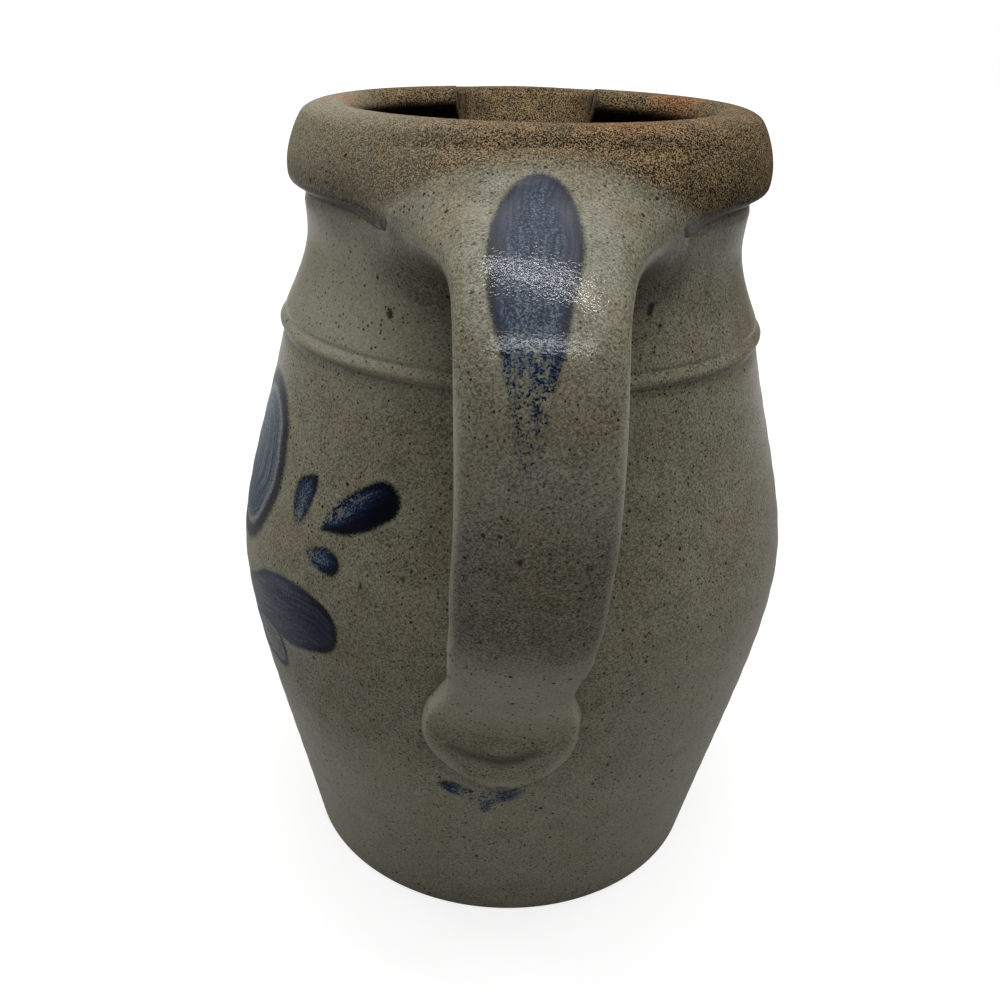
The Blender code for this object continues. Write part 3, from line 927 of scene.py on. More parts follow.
def brushed(flat, rows, lean=0.0, lined=0.0):
    """Depth inside a stroke and the stroke's values, for points on flattened clay, in mm.

    A lean puts more colour on one side. A lined stroke has streaks that follow its edge.
    """
    rows = np.array(rows, float)
    marks = np.zeros((len(MARKS), len(flat)))
    marks[0] = FAR_OUT
    steps = np.hypot(*np.diff(rows[:, :2], axis=0).T)
    length = np.concatenate([[0], np.cumsum(steps)])
    fine = np.linspace(0, length[-1], DISCS)
    discs = np.column_stack([np.interp(fine, length, column) for column in rows.T])
    ahead = np.gradient(discs[:, :2], axis=0)
    ahead = ahead / np.hypot(*ahead.T)[:, None]
    low = (discs[:, :2] - discs[:, 2:3]).min(0) - MARGIN_MM
    high = (discs[:, :2] + discs[:, 2:3]).max(0) + MARGIN_MM
    near = np.flatnonzero(((flat > low) & (flat < high)).all(1))
    offset = flat[near, None, :] - discs[None, :, :2]
    inside = discs[None, :, 2] - np.hypot(offset[:, :, 0], offset[:, :, 1])
    best = inside.argmax(1)
    pick = np.arange(len(near))
    depth = inside[pick, best]
    side = offset[pick, best]
    across = side[:, 1] * ahead[best, 0] - side[:, 0] * ahead[best, 1]
    load = discs[best, 3] + lean * across / np.maximum(discs[best, 2], 1)
    streak = depth if lined else across
    line = np.full(len(near), lined)
    depth = depth * (LINED_DEPTH if lined else 1.0)
    marks[:, near] = np.vstack([depth, load, discs[best, 4:].T, streak, fine[best], line])
    return marks


# %% Store the brushwork on body and handle
def store(piece, name, values):
    """Keeps one number at every point of a piece for its material."""
    layer = piece.data.attributes.new(name, "FLOAT", "POINT")
    layer.data.foreach_set("value", np.asarray(values, np.float32))


climb = np.concatenate([[0], np.cumsum(np.hypot(*np.diff(body_outside, axis=0).T))])


def flattened(azimuth, height, middle):
    """Azimuth in degrees and height in mm as mm on the clay, unrolled round a middle azimuth."""
    radius = np.interp(height / 1000, body_outside[:, 1], body_outside[:, 0])
    rise = np.interp(height / 1000, body_outside[:, 1], climb)
    turn = (azimuth - middle + 180) % 360 - 180
    return np.column_stack([np.radians(turn) * radius * 1000, rise * 1000])


points = points_of(body)
facing_out = (normals_of(body) * points)[:, :2].sum(1) > 0
azimuth = np.degrees(np.arctan2(points[:, 0], -points[:, 1]))
body_marks = np.zeros((len(MARKS), len(points)))
body_marks[0] = FAR_OUT
for stroke in body_strokes:
    rows = np.array(stroke, float)
    middle = rows[:, 0].mean()
    flat = flattened(azimuth, points[:, 2] * 1000, middle)
    flat_rows = np.column_stack([flattened(rows[:, 0], rows[:, 1], middle), rows[:, 2:]])
    lean = DROP_LEAN if stroke in BIG_DROPS else 0
    found = brushed(flat, flat_rows, lean, 1.0 if stroke in PETALS else 0.0)
    deeper = facing_out & (found[0] > body_marks[0])
    body_marks[:, deeper] = found[:, deeper]
strap_flat = 1000 * np.column_stack([values_of(handle, "across_strap"), values_of(handle, "along_strap")])
handle_marks = brushed(strap_flat, HANDLE_LEAF)
upper_side = values_of(handle, "strap_face") > 0
handle_marks[0] = np.where(upper_side, handle_marks[0], FAR_OUT)
handle_marks[3] *= 1 - 0.9 * eased(2.6, 5.6, handle_marks[0])  # slate only on the leaf's shoulders
for name, body_values, handle_values in zip(MARKS, body_marks, handle_marks):
    store(body, name, body_values)
    store(handle, name, handle_values)
for piece in (collar, spout):
    store(piece, "cobalt_depth", np.full(len(piece.data.vertices), FAR_OUT))
print("cobalt covers", int((body_marks[0] > 0).sum()), "points of the body")

# %% [markdown]
# ## Burnt iron and a slip stain
#
# Lumps of iron in the clay melted in the kiln and came through the glaze as ragged dark spots, and
# dark slip stayed in the thumb hollow at the tail of the handle. The material scatters the small
# specks by itself, but these few larger ones have places of their own. So they are kept in the same
# way as the brush strokes: as the depth inside a short row of discs.

# %% Burnt iron spots and the slip stain in the thumb hollow: place as above, then half width
BODY_SPOTS = [
    [(-30.8, 178.0, 0.7), (-30.4, 176.6, 0.9)],
    [(28.8, 181.2, 1.0), (28.4, 179.6, 0.8)],
    [(31.4, 176.4, 0.6), (32.0, 175.8, 0.7)],
    [(-28.4, 113.6, 0.7), (-28.2, 113.0, 0.7)],
    [(-20.2, 118.0, 0.8), (-20.0, 117.4, 0.7)],
]
HANDLE_SPOTS = [
    [(-3.6, 105.2, 0.8), (-3.3, 105.8, 0.9)],
    [(-5.6, 87.2, 0.7), (-5.4, 87.9, 0.6)],
    [(10.8, 106.4, 0.6), (11.0, 107.2, 0.7)],
    [(-9.6, 50.2, 0.8), (-9.9, 51.0, 0.6)],
    [(-1.2, 157.4, 0.4), (0.6, 157.8, 0.5)],
]
STAIN = [
    (-12.0, 180.4, 0.5),
    (-8.0, 183.6, 0.9),
    (-1.0, 186.4, 1.8),
    (4.0, 185.6, 1.4),
    (9.6, 181.8, 0.5),
]


def spotted(flat_of, spots):
    """Depth inside the nearest of some plain spots."""
    deepest = None
    for spot in spots:
        rows = np.array(spot)
        rows = np.column_stack([rows, np.zeros((len(rows), 3))])
        depth = brushed(*flat_of(rows))[0]
        deepest = depth if deepest is None else np.maximum(deepest, depth)
    return deepest


def on_body(rows):
    """Points of the body and the rows of a stroke, unrolled together."""
    middle = rows[:, 0].mean()
    unrolled = flattened(rows[:, 0], rows[:, 1], middle)
    return flattened(azimuth, points[:, 2] * 1000, middle), np.column_stack([unrolled, rows[:, 2:]])


def on_strap(rows):
    """Points of the strap and the rows of a stroke, which is given along the strap already."""
    return strap_flat, rows


store(body, "burnt", np.where(facing_out, spotted(on_body, BODY_SPOTS), FAR_OUT))
store(handle, "burnt", np.where(upper_side, spotted(on_strap, HANDLE_SPOTS), FAR_OUT))
stained = 0.85 * eased(-2.8, 1.8, spotted(on_strap, [STAIN]))
store(handle, "stain", np.where(upper_side, stained, 0))
for piece in (collar, spout):
    store(piece, "burnt", np.full(len(piece.data.vertices), FAR_OUT))
print(len(BODY_SPOTS) + len(HANDLE_SPOTS), "burnt spots")

# %% [markdown]
# ## Where the fire toasted the clay
#
# The rim stood highest in the kiln, got little salt and toasted brown, and the clay flashed orange
# where the flame licked it. The flame also reached the throat of the spout. The wiped root of the
# handle stayed grey, in an arch up the collar. Toast and flash cross from one piece to the next, so
# they are worked out from the place of a point alone, and two pieces that meet agree.

# %% Toasted and flashed zones. A flash has an azimuth in degrees, a radius, a height and a size
TOAST_RISE = (0.1975, 0.2045)
ARCH_TOP = 0.2124
ARCH_FALL = 0.0120
ARCH_MIDDLE = 0.0025
ARCH_HALF = 0.034
FLASHES = ((23, 0.0480, 0.2192, 0.0095), (-94, 0.050, 0.2195, 0.008), (121, 0.049, 0.2195, 0.009))


def toasted(points):
    """How far the clay is toasted brown, 0 to 1."""
    x, y, z = points.T
    arch = ARCH_TOP - ARCH_FALL * ((x - ARCH_MIDDLE) / ARCH_HALF) ** 2
    off_root = np.maximum(eased(-0.0030, 0.0045, z - arch), eased(-0.035, -0.020, y))
    high = eased(*TOAST_RISE, z)
    side = np.maximum(0.70 + 0.30 * eased(-0.060, 0.010, x), eased(-0.01, 0.03, y))
    return off_root * high * side


def flashed(points):
    """How far the clay is flashed orange, 0 to 1."""
    total = np.zeros(len(points))
    for angle, radius, height, size in FLASHES:
        turn = math.radians(angle)
        spot = np.array([radius * math.sin(turn), -radius * math.cos(turn), height])
        away = (points - spot) * np.array([1, 1, 1.6])
        total += np.exp(-((np.linalg.norm(away, axis=1) / size) ** 2))
    return np.clip(total, 0, 1)


def on_cut_wall(points):
    """Points on the walls of the cut for the spout."""
    by_cut = np.abs(np.abs(points[:, 0]) - notch_half(points[:, 2])) < 0.0014
    return by_cut & (points[:, 1] > FRONT)


def throat(piece, points):
    """The inside of the spout and the walls of the cut, which the flame reached: 0 to 1."""
    if piece is spout:
        inside = values_of(spout, "spout_outside") < 0.5
    else:
        inside = on_cut_wall(points)
    return inside * eased(0.174, 0.184, points[:, 2])


for piece in (body, collar, spout, handle):
    points = points_of(piece)
    toast = toasted(points)
    if piece is not handle:
        toast = np.maximum(toast, throat(piece, points))
    store(piece, "toast", toast)
    store(piece, "flash", flashed(points))
    print(piece.name, "toasted over", int((toast > 0.5).sum()), "points")

# %% [markdown]
# ## Painted light and painted shade
#
# The foot, the lower right and the left side of the neck are painted paler as light, and the edges of the
# strap get a painted highlight. Under the collar, the root and the grip a painted shade makes the clay
# darker. Pictures painted for each piece could show this too, but they would have to meet at every
# joint. A few sums on the points do it for all four pieces. Each border is soft: the first two numbers
# of eased() say where a zone starts and where it is full.


# %% Painted light and painted shade
def painted_light(points):
    """Painted light, 0 to 1: the foot, low on the right, the left of neck and collar."""
    x, y, z = points.T
    low = eased(0.074, 0.046, z) * (0.40 + 0.40 * eased(0.015, 0.045, np.abs(x)))
    left = 0.8 * eased(0.150, 0.172, z) * eased(-0.006, -0.040, x) * eased(0.03, -0.01, y)
    right = 0.7 * eased(0.120, 0.075, z) * eased(0.010, 0.050, x)
    return np.maximum(np.maximum(low, left), right)


def painted_edge_highlight():
    """Painted highlight on the strap, 0 to 1: its two edges, above the pad, the pad's rim."""
    face = values_of(handle, "strap_face")
    inner = 0.62 + 0.30 * eased(0.90, 0.95, strap_share)
    edges = eased(inner, inner - 0.40, face) * eased(-0.5, -0.1, face) * eased(0.30, 0.42, strap_share)
    tip = eased(0.972, 0.988, strap_share)
    neck = 0.9 * eased(0.67, 0.75, strap_share) * (1 - eased(0.83, 0.90, strap_share))
    return np.maximum(np.maximum(1.1 * edges, 0.8 * tip), neck)


def near_root(points):
    """How near a point of the pot is to the root of the handle, 0 to 1."""
    near = np.zeros(len(points))
    for k in np.flatnonzero((points[:, 1] < -FRONT) & (points[:, 2] > NECK_LOW)):
        near[k] = 1 - eased(0.004, 0.014, gap_to(handle_tree, points[k], 0.015)[0])
    return near


def painted_shade(piece, points, normals):
    """Painted shade, 0 to 1: under the collar, root and grip, on the lower strap and on the walls of the
    cut.
    """
    under = eased(0.30, -0.45, normals[:, 2])
    if piece is handle:
        # Painted shade under the root, on the underside of the grip and on the lower strap
        root = 0.62 * (1 - eased(0.20, 0.34, strap_share))
        grip = 0.30 * eased(0.0, -0.35, normals[:, 2]) * (1 - eased(0.62, 0.80, strap_share))
        low = 0.40 * eased(0.44, 0.56, strap_share) * (1 - eased(0.64, 0.73, strap_share))
        return np.maximum(np.maximum(under * root, grip), low)
    # Painted shade on the walls of the cut for the spout, under the collar and round the root
    cut_wall = on_cut_wall(points) * (np.abs(normals[:, 0]) > 0.5)
    ledge = under * np.maximum(eased(0.186, 0.196, points[:, 2]), 0.62 * near_root(points))
    return np.maximum(ledge, 0.5 * cut_wall)


for piece in (body, collar, spout, handle):
    points = points_of(piece)
    # Painted light and painted shade are stored for every piece; the strap also gets a painted highlight
    painted_lighter = painted_light(points)
    if piece is handle:
        painted_lighter = np.maximum(painted_lighter, painted_edge_highlight())
    store(piece, "painted_light", painted_lighter)
    store(piece, "painted_shade", painted_shade(piece, points, normals_of(piece)))
    print(piece.name, "paler over", int((painted_lighter > 0.5).sum()), "points")

# %% [markdown]
# ## Liner, bare foot and a glassy strap
#
# Salt vapour doesn't get into a closed pot, so the inside was swilled with a dark slip that melts to
# a brown liner glaze. The foot stood on the kiln shelf and is bare clay. On the shoulder of the strap
# the salt lay thickest and left a clear, glassy film. All three are stored like the zones above.

# %% Lined, bare and glassy zones
LINER_RADIUS = 0.0565
LINER_TOP = (0.2148, 0.2166)
FOOT_BARE = (0.0003, 0.0016)
for piece in (body, collar, spout, handle):
    points = points_of(piece)
    radius = np.hypot(points[:, 0], points[:, 1])
    outwards = (normals_of(piece) * points)[:, :2].sum(1) / np.maximum(radius, 1e-4)
    inside = (radius < LINER_RADIUS) | (outwards < -0.2)
    lined = inside * (1 - eased(*LINER_TOP, points[:, 2])) * (points[:, 2] > 0.004)
    if piece in (spout, handle):
        lined = np.zeros(len(points))
    store(piece, "liner", lined)
    store(piece, "bare", 1 - eased(*FOOT_BARE, points[:, 2]))
outer_side = eased(0.15, 0.60, values_of(handle, "strap_face"))
on_shoulder = eased(0.06, 0.14, strap_share) * (1 - eased(0.42, 0.60, strap_share))
store(handle, "glassy", outer_side * on_shoulder)
print("liner, foot and film stored on 4 pieces")

# %% [markdown]
# ## Salt-glazed stoneware
#
# At white heat salt was thrown into the kiln. Its vapour melted the skin of the clay to a thin clear
# glass with the pebbled surface of an orange, about 0.7 mm from pit to pit, grey where the fire was
# short of air and tan where it was not. All four pieces were fired as one pot, so one recipe makes
# their finish, and the stored zones say where it is grey, toasted, painted, lined or bare. An image
# texture would need a photograph of a pot; these patterns come from sizes in millimetres instead.


# %% One helper for nodes, and one for colours
def add(tree, kind, sockets=None, **settings):
    """Adds a node, sets its properties, and gives its inputs values, sockets or other nodes."""
    node = tree.nodes.new(kind)
    for name, value in settings.items():
        setattr(node, name, value)
    for name, value in (sockets or {}).items():
        if isinstance(value, bpy.types.Node):
            value = next(socket for socket in value.outputs if socket.enabled)
        if isinstance(value, bpy.types.NodeSocket):
            tree.links.new(value, node.inputs[name])
        else:
            node.inputs[name].default_value = value
    return node


def paint(code):
    """An sRGB hex colour as a linear RGBA value."""
    levels = [int(code[k : k + 2], 16) / 255 for k in (1, 3, 5)]
    linear = [c / 12.92 if c <= 0.04045 else ((c + 0.055) / 1.055) ** 2.4 for c in levels]
    return (*linear, 1)


print("grey glaze is", [round(c, 3) for c in paint("#747263")[:3]], "in linear light")

# %% Colours of the fired clay
GREY_DARK = "#5B5848"
GREY_LIGHT = "#979581"
# Paler grey laid on as painted light
PAINTED_LIGHT_GREY = "#AFAE9C"
TAN_DARK = "#574D3C"
TAN_LIGHT = "#93856C"
TOAST_PIT = "#1A130C"
TOAST_GRAIN = "#9D8664"
FLASH_ORANGE = "#B47E52"
# Dark brown of the iron specks and the slip stain, also laid on as painted shade
IRON_AND_SHADE_BROWN = "#1C150D"
COBALT_WASH = "#5D6F7B"
COBALT_BLUE = "#24334B"
COBALT_NAVY = "#0F152C"
COBALT_BLACK = "#090C18"
SLATE_WASH = "#4C505C"
SLATE_PURPLE = "#2D3241"
LINER_BROWN = "#0F0A07"
BARE_CLAY = "#9C8A6E"
print("cobalt runs from", COBALT_WASH, "to", COBALT_BLACK)

# %% Patterns in the clay, each with its size in mm
CLOUD_MM = 26
WARM_MM = 13
PATCH_MM = 6
PEEL_MM = 0.7
GRAIN_MM = 0.35
# Two of these zones hold painted light and painted shade, not colours of the clay
ZONES = ("toast", "flash", "liner", "bare", "burnt", "stain", "painted_shade", "painted_light", "glassy")


def patterns(tree):
    """The place of a point in mm, its stored zones, and the noises that all finishes share."""
    spot = add(tree, "ShaderNodeTexCoord").outputs["Object"]
    mm = add(tree, "ShaderNodeVectorMath", {0: spot, "Scale": 1000}, operation="SCALE")
    zone = {}
    for mark in MARKS + ZONES:
        zone[mark] = add(tree, "ShaderNodeAttribute", attribute_name=mark).outputs["Fac"]
    noise = {"mm": mm}
    for name, size, detail in (
        ("cloud", CLOUD_MM, 2),
        ("patch", PATCH_MM, 3),
        ("peel", PEEL_MM, 1),
        ("grain", GRAIN_MM, 1),
    ):
        sockets = {"Vector": mm, "Scale": 1 / size, "Detail": detail}
        noise[name] = add(tree, "ShaderNodeTexNoise", sockets)
    tone = -0.85
    for name, weight in (("peel", 1.7), ("patch", 0.6), ("cloud", 0.4), ("grain", 1.6)):
        sockets = {0: noise[name], 1: weight, 2: tone}
        tone = add(tree, "ShaderNodeMath", sockets, operation="MULTIPLY_ADD")
    noise["tone"] = add(tree, "ShaderNodeMath", {0: tone, 1: 0.77}, operation="SUBTRACT", use_clamp=True)
    return zone, noise


print(len(MARKS + ZONES), "stored values feed the glaze")


# %% The grey glaze
def grey_glaze(tree, zone, noise):
    """Colour of the salt glaze: mottled grey with tan clouds, and a paler grey painted in as light."""
    shades = []
    for dark, light in ((GREY_DARK, GREY_LIGHT), (TAN_DARK, TAN_LIGHT)):
        sockets = {0: noise["tone"], 6: paint(dark), 7: paint(light)}
        shades.append(add(tree, "ShaderNodeMix", sockets, data_type="RGBA"))
    sockets = {"Vector": noise["mm"], "Scale": 1 / WARM_MM, "Detail": 3}
    warm = add(tree, "ShaderNodeTexNoise", sockets)
    sockets = {"Value": warm, "From Min": 0.42, "From Max": 0.66}
    warm = add(tree, "ShaderNodeMapRange", sockets, interpolation_type="SMOOTHSTEP")
    warm = add(tree, "ShaderNodeMath", {0: warm, 1: 0.45}, operation="MULTIPLY")
    colour = add(tree, "ShaderNodeMix", {0: warm, 6: shades[0], 7: shades[1]}, data_type="RGBA")
    # Painted light: the glaze is painted paler there
    painted_lighter = add(tree, "ShaderNodeMath", {0: zone["painted_light"], 1: 0.5}, operation="MULTIPLY", use_clamp=True)
    return add(tree, "ShaderNodeMix", {0: painted_lighter, 6: colour, 7: paint(PAINTED_LIGHT_GREY)}, data_type="RGBA")


# %% [markdown]
# ## Toasted clay and painted shade
#
# With little salt the clay stays open: light grains of sand stand out from dark pits. Where the flame
# licked it the grains turned orange. All of this could be modelled as real grains, but they are finer
# than a quarter of a millimetre, so noise with a steep edge draws them. The edge of the toasted band is
# made ragged by the patches of the glaze. Under the collar, the root and the grip a grainy dark brown
# is painted in as shade.

# %% Toasted clay, orange flashes and painted shade on undersides
GRIT_MM = 0.22


def toasted_clay(tree, zone, noise, colour):
    """The colour with toast, flash and painted shade laid over it, and how far it is toasted."""
    sockets = {"Vector": noise["mm"], "Scale": 1 / GRIT_MM, "Detail": 1}
    grit = add(tree, "ShaderNodeTexNoise", sockets)
    pitted = -1.50
    for grains, weight in ((grit, 1.7), (noise["grain"], 1.3), (noise["peel"], 0.6), (noise["patch"], 0.5)):
        sockets = {0: grains, 1: weight, 2: pitted}
        pitted = add(tree, "ShaderNodeMath", sockets, operation="MULTIPLY_ADD")
    sockets = {"Value": pitted, "From Min": 0.49, "From Max": 0.72}
    pitted = add(tree, "ShaderNodeMapRange", sockets, interpolation_type="SMOOTHSTEP")
    sockets = {0: pitted, 6: paint(TOAST_PIT), 7: paint(TOAST_GRAIN)}
    brown = add(tree, "ShaderNodeMix", sockets, data_type="RGBA")
    sockets = {0: noise["patch"], 1: 0.8, 2: -0.40}
    ragged = add(tree, "ShaderNodeMath", sockets, operation="MULTIPLY_ADD")
    toast = add(tree, "ShaderNodeMath", {0: zone["toast"], 1: ragged}, operation="ADD")
    sockets = {0: toast, 1: zone["toast"]}
    toast = add(tree, "ShaderNodeMath", sockets, operation="MULTIPLY", use_clamp=True)
    flash = add(tree, "ShaderNodeMath", {0: zone["flash"], 1: pitted}, operation="MULTIPLY")
    # Painted shade: a grainy dark brown, darker on the dark grains
    pits = add(tree, "ShaderNodeMath", {0: noise["tone"], 1: -0.6, 2: 1.10}, operation="MULTIPLY_ADD")
    sockets = {0: zone["painted_shade"], 1: pits}
    shade = add(tree, "ShaderNodeMath", sockets, operation="MULTIPLY", use_clamp=True)
    for cover, top in ((toast, brown), (flash, paint(FLASH_ORANGE)), (shade, paint(IRON_AND_SHADE_BROWN))):
        colour = add(tree, "ShaderNodeMix", {0: cover, 6: colour, 7: top}, data_type="RGBA")
    return colour, toast


print("grit of", GRIT_MM, "mm")

# %% [markdown]
# ## Iron in the clay
#
# Grains of iron burned to dark specks that show through the glaze. Each cell of a Voronoi pattern
# holds one dot round its middle, with a size drawn from the cell's colour, and a third to a half of
# the cells stay empty. Scattered discs could do the same, but thousands of them would be needed. The
# larger burnt spots were stored above and get a ragged edge here.

# %% Iron specks: cell in mm, then the spread and the start of a dot's radius in parts of a cell
IRON_CELLS = ((1.1, 0.44, -0.14), (3.4, 0.34, -0.18))
IRON_SOFT_MM = 0.09


def iron_specks(tree, zone, noise):
    """Where iron shows, 0 to 1: fine dots, coarser dots and the burnt spots."""
    iron = None
    for cell, spread, least in IRON_CELLS:
        cells = add(tree, "ShaderNodeTexVoronoi", {"Vector": noise["mm"], "Scale": 1 / cell})
        pick = add(tree, "ShaderNodeSeparateColor", {"Color": cells.outputs["Color"]})
        sockets = {0: pick.outputs["Red"], 1: spread, 2: least}
        dot = add(tree, "ShaderNodeMath", sockets, operation="MULTIPLY_ADD")
        dot = add(tree, "ShaderNodeMath", {0: dot, 1: cells.outputs["Distance"]}, operation="SUBTRACT")
        soft = IRON_SOFT_MM / cell
        dot = add(tree, "ShaderNodeMapRange", {"Value": dot, "From Min": -soft, "From Max": soft})
        if iron:
            dot = add(tree, "ShaderNodeMath", {0: dot, 1: iron}, operation="MAXIMUM")
        iron = dot
    burnt = add(tree, "ShaderNodeMath", {0: noise["grain"], 1: 1.6, 2: -0.8}, operation="MULTIPLY_ADD")
    burnt = add(tree, "ShaderNodeMath", {0: burnt, 1: zone["burnt"]}, operation="ADD")
    burnt = add(tree, "ShaderNodeMapRange", {"Value": burnt, "From Min": -0.25, "From Max": 0.25})
    iron = add(tree, "ShaderNodeMath", {0: iron, 1: burnt}, operation="MAXIMUM")
    return add(tree, "ShaderNodeMath", {0: iron, 1: 0.90}, operation="MULTIPLY")


def slip_stain(tree, zone, noise):
    """How dark the slip stain is, 0 to 1: it gathers in the peel of the glaze."""
    stain = add(tree, "ShaderNodeMath", {0: noise["peel"], 1: 1.5}, operation="MULTIPLY")
    return add(tree, "ShaderNodeMath", {0: stain, 1: zone["stain"]}, operation="MULTIPLY", use_clamp=True)


print("iron in cells of", [cell for cell, spread, least in IRON_CELLS], "mm")

# %% [markdown]
# ## Cobalt under the glaze
#
# Cobalt slip fires from a thin grey wash over blue to almost black, by how much of it the brush left.
# So the load of each stroke runs through a ramp of colours. Bristles leave streaks along the stroke, a
# wet brush leaves a dark pool at the rim, and a brush that runs dry leaves blots, with bare clay
# between them. Parts of some strokes fired to a slate purple instead, and that is a second ramp.

# %% Cobalt: the edge of a stroke, its streaks and its pool
STREAK_MM = 0.8
STREAK_LONG_MM = 14
BLOT_MM = 1.2


def stroke_edge(tree, zone, noise):
    """Depth inside a stroke with a ragged edge, how far it covers the clay, and its pool of colour."""
    edge = add(tree, "ShaderNodeMath", {0: noise["grain"], 1: 2.8, 2: -1.4}, operation="MULTIPLY_ADD")
    edge = add(tree, "ShaderNodeMath", {0: edge, 1: zone["cobalt_depth"]}, operation="ADD")
    sockets = {"Value": edge, "From Min": -0.45, "From Max": 0.60}
    cover = add(tree, "ShaderNodeMapRange", sockets, interpolation_type="SMOOTHSTEP")
    sockets = {"Value": edge, "From Min": 2.6, "From Max": 0.3}
    pool = add(tree, "ShaderNodeMapRange", sockets, interpolation_type="SMOOTHSTEP")
    pool = add(tree, "ShaderNodeMath", {0: pool, 1: zone["cobalt_pool"]}, operation="MULTIPLY")
    return edge, cover, pool


def bristle_streaks(tree, zone, noise):
    """Noise drawn out along the stroke, wandering a little across it."""
    sockets = {0: noise["patch"], 1: 1.6, 2: zone["cobalt_across"]}
    drift = add(tree, "ShaderNodeMath", sockets, operation="MULTIPLY_ADD")
    spot = add(tree, "ShaderNodeCombineXYZ", {"X": drift, "Y": zone["cobalt_along"]})
    sockets = {0: spot, 1: (1 / STREAK_MM, 1 / STREAK_LONG_MM, 1)}
    spot = add(tree, "ShaderNodeVectorMath", sockets, operation="MULTIPLY")
    return add(tree, "ShaderNodeTexNoise", {"Vector": spot, "Scale": 1, "Detail": 2})


def dabs(tree, zone, noise):
    """Unevenness of the load: a fine stipple, and blots where the brush is nearly spent."""
    sockets = {"Vector": noise["mm"], "Scale": 1 / BLOT_MM, "Detail": 1, "Distortion": 1.5}
    blot = add(tree, "ShaderNodeTexNoise", sockets)
    stipple = -1.55
    for grains, weight in ((noise["grain"], 1.7), (noise["peel"], 1.4)):
        sockets = {0: grains, 1: weight, 2: stipple}
        stipple = add(tree, "ShaderNodeMath", sockets, operation="MULTIPLY_ADD")
    blots = -1.98
    for grains, weight in ((blot, 2.5), (noise["grain"], 1.1)):
        sockets = {0: grains, 1: weight, 2: blots}
        blots = add(tree, "ShaderNodeMath", sockets, operation="MULTIPLY_ADD")
    sockets = {"Value": zone["cobalt_load"], "From Min": 0.30, "From Max": -0.05}
    spent = add(tree, "ShaderNodeMapRange", sockets)
    stipple = add(tree, "ShaderNodeMix", {0: spent, 2: stipple, 3: blots})
    even = 1
    for mark, weight in (("cobalt_purple", -0.8), ("cobalt_line", -0.7)):
        sockets = {0: zone[mark], 1: weight, 2: even}
        even = add(tree, "ShaderNodeMath", sockets, operation="MULTIPLY_ADD")
    sockets = {0: zone["cobalt_load"], 1: -1.2, 2: 1.30}
    dry = add(tree, "ShaderNodeMath", sockets, operation="MULTIPLY_ADD")
    for factor in (dry, even):
        stipple = add(tree, "ShaderNodeMath", {0: stipple, 1: factor}, operation="MULTIPLY")
    return stipple, spent


print("streaks of", STREAK_MM, "mm and blots of", BLOT_MM, "mm")


# %% Cobalt: the load of the stroke, and its colour
def cobalt_load(tree, zone, noise, edge, pool, stipple):
    """How much cobalt lies at a point: the brush's load, its streaks, its dabs and the pool."""
    streak = bristle_streaks(tree, zone, noise)
    sockets = {0: zone["cobalt_line"], 1: 0.6, 2: 1.1}
    strong = add(tree, "ShaderNodeMath", sockets, operation="MULTIPLY_ADD")
    load = add(tree, "ShaderNodeMath", {0: streak, 1: 0.5}, operation="SUBTRACT")
    load = add(tree, "ShaderNodeMath", {0: load, 1: strong}, operation="MULTIPLY")
    for more in (stipple, zone["cobalt_load"]):
        load = add(tree, "ShaderNodeMath", {0: load, 1: more}, operation="ADD")
    # A line scratched 2.9 mm inside the edge of the petals, where little cobalt is left
    scratch = add(tree, "ShaderNodeMath", {0: edge, 1: 2.9, 2: 0.45}, operation="COMPARE")
    scratch = add(tree, "ShaderNodeMath", {0: scratch, 1: zone["cobalt_line"]}, operation="MULTIPLY")
    for part, weight in ((scratch, -0.6), (pool, 0.75)):
        sockets = {0: part, 1: weight, 2: load}
        load = add(tree, "ShaderNodeMath", sockets, operation="MULTIPLY_ADD")
    return load


def cobalt_brushwork(tree, zone, noise):
    """Colour of the cobalt at a point, and how far it covers the clay."""
    edge, cover, pool = stroke_edge(tree, zone, noise)
    stipple, spent = dabs(tree, zone, noise)
    load = cobalt_load(tree, zone, noise, edge, pool, stipple)
    deep = add(tree, "ShaderNodeMath", {0: spent, 1: 0.30, 2: load}, operation="MULTIPLY_ADD")
    ramps = []
    for fed, thin, between in (
        (deep, COBALT_WASH, ((0.34, COBALT_BLUE), (0.70, COBALT_NAVY))),
        (load, SLATE_WASH, ((0.5, SLATE_PURPLE),)),
    ):
        ramp = add(tree, "ShaderNodeValToRGB", {"Fac": fed})
        ramp.color_ramp.elements[0].color = paint(thin)
        ramp.color_ramp.elements[1].color = paint(COBALT_BLACK)
        for place_on_ramp, code in between:
            ramp.color_ramp.elements.new(place_on_ramp).color = paint(code)
        ramps.append(ramp.outputs["Color"])
    sockets = {0: zone["cobalt_purple"], 6: ramps[0], 7: ramps[1]}
    cobalt = add(tree, "ShaderNodeMix", sockets, data_type="RGBA")
    sockets = {"Value": load, "From Min": -0.50, "From Max": 0.16}
    present = add(tree, "ShaderNodeMapRange", sockets, interpolation_type="SMOOTHSTEP")
    cover = add(tree, "ShaderNodeMath", {0: cover, 1: present}, operation="MULTIPLY")
    return cobalt, cover


# %% [markdown]
# ## Shine and relief
#
# Salt glaze is glass, with an IOR of 1.5, but it is thin and its pebbles scatter what they mirror, so
# most of it gives only a faint sheen. Toasted and bare clay are dry, the liner is smooth. The film on
# the shoulder of the strap is thick enough for white glints, and a coat over the base stands for it.
# The pebbles are too many to model, so bump with a height in millimetres draws them.

# %% Shine, relief and film of the glaze
TURNING_MM = 1.7
TOAST_HEIGHT = 0.32


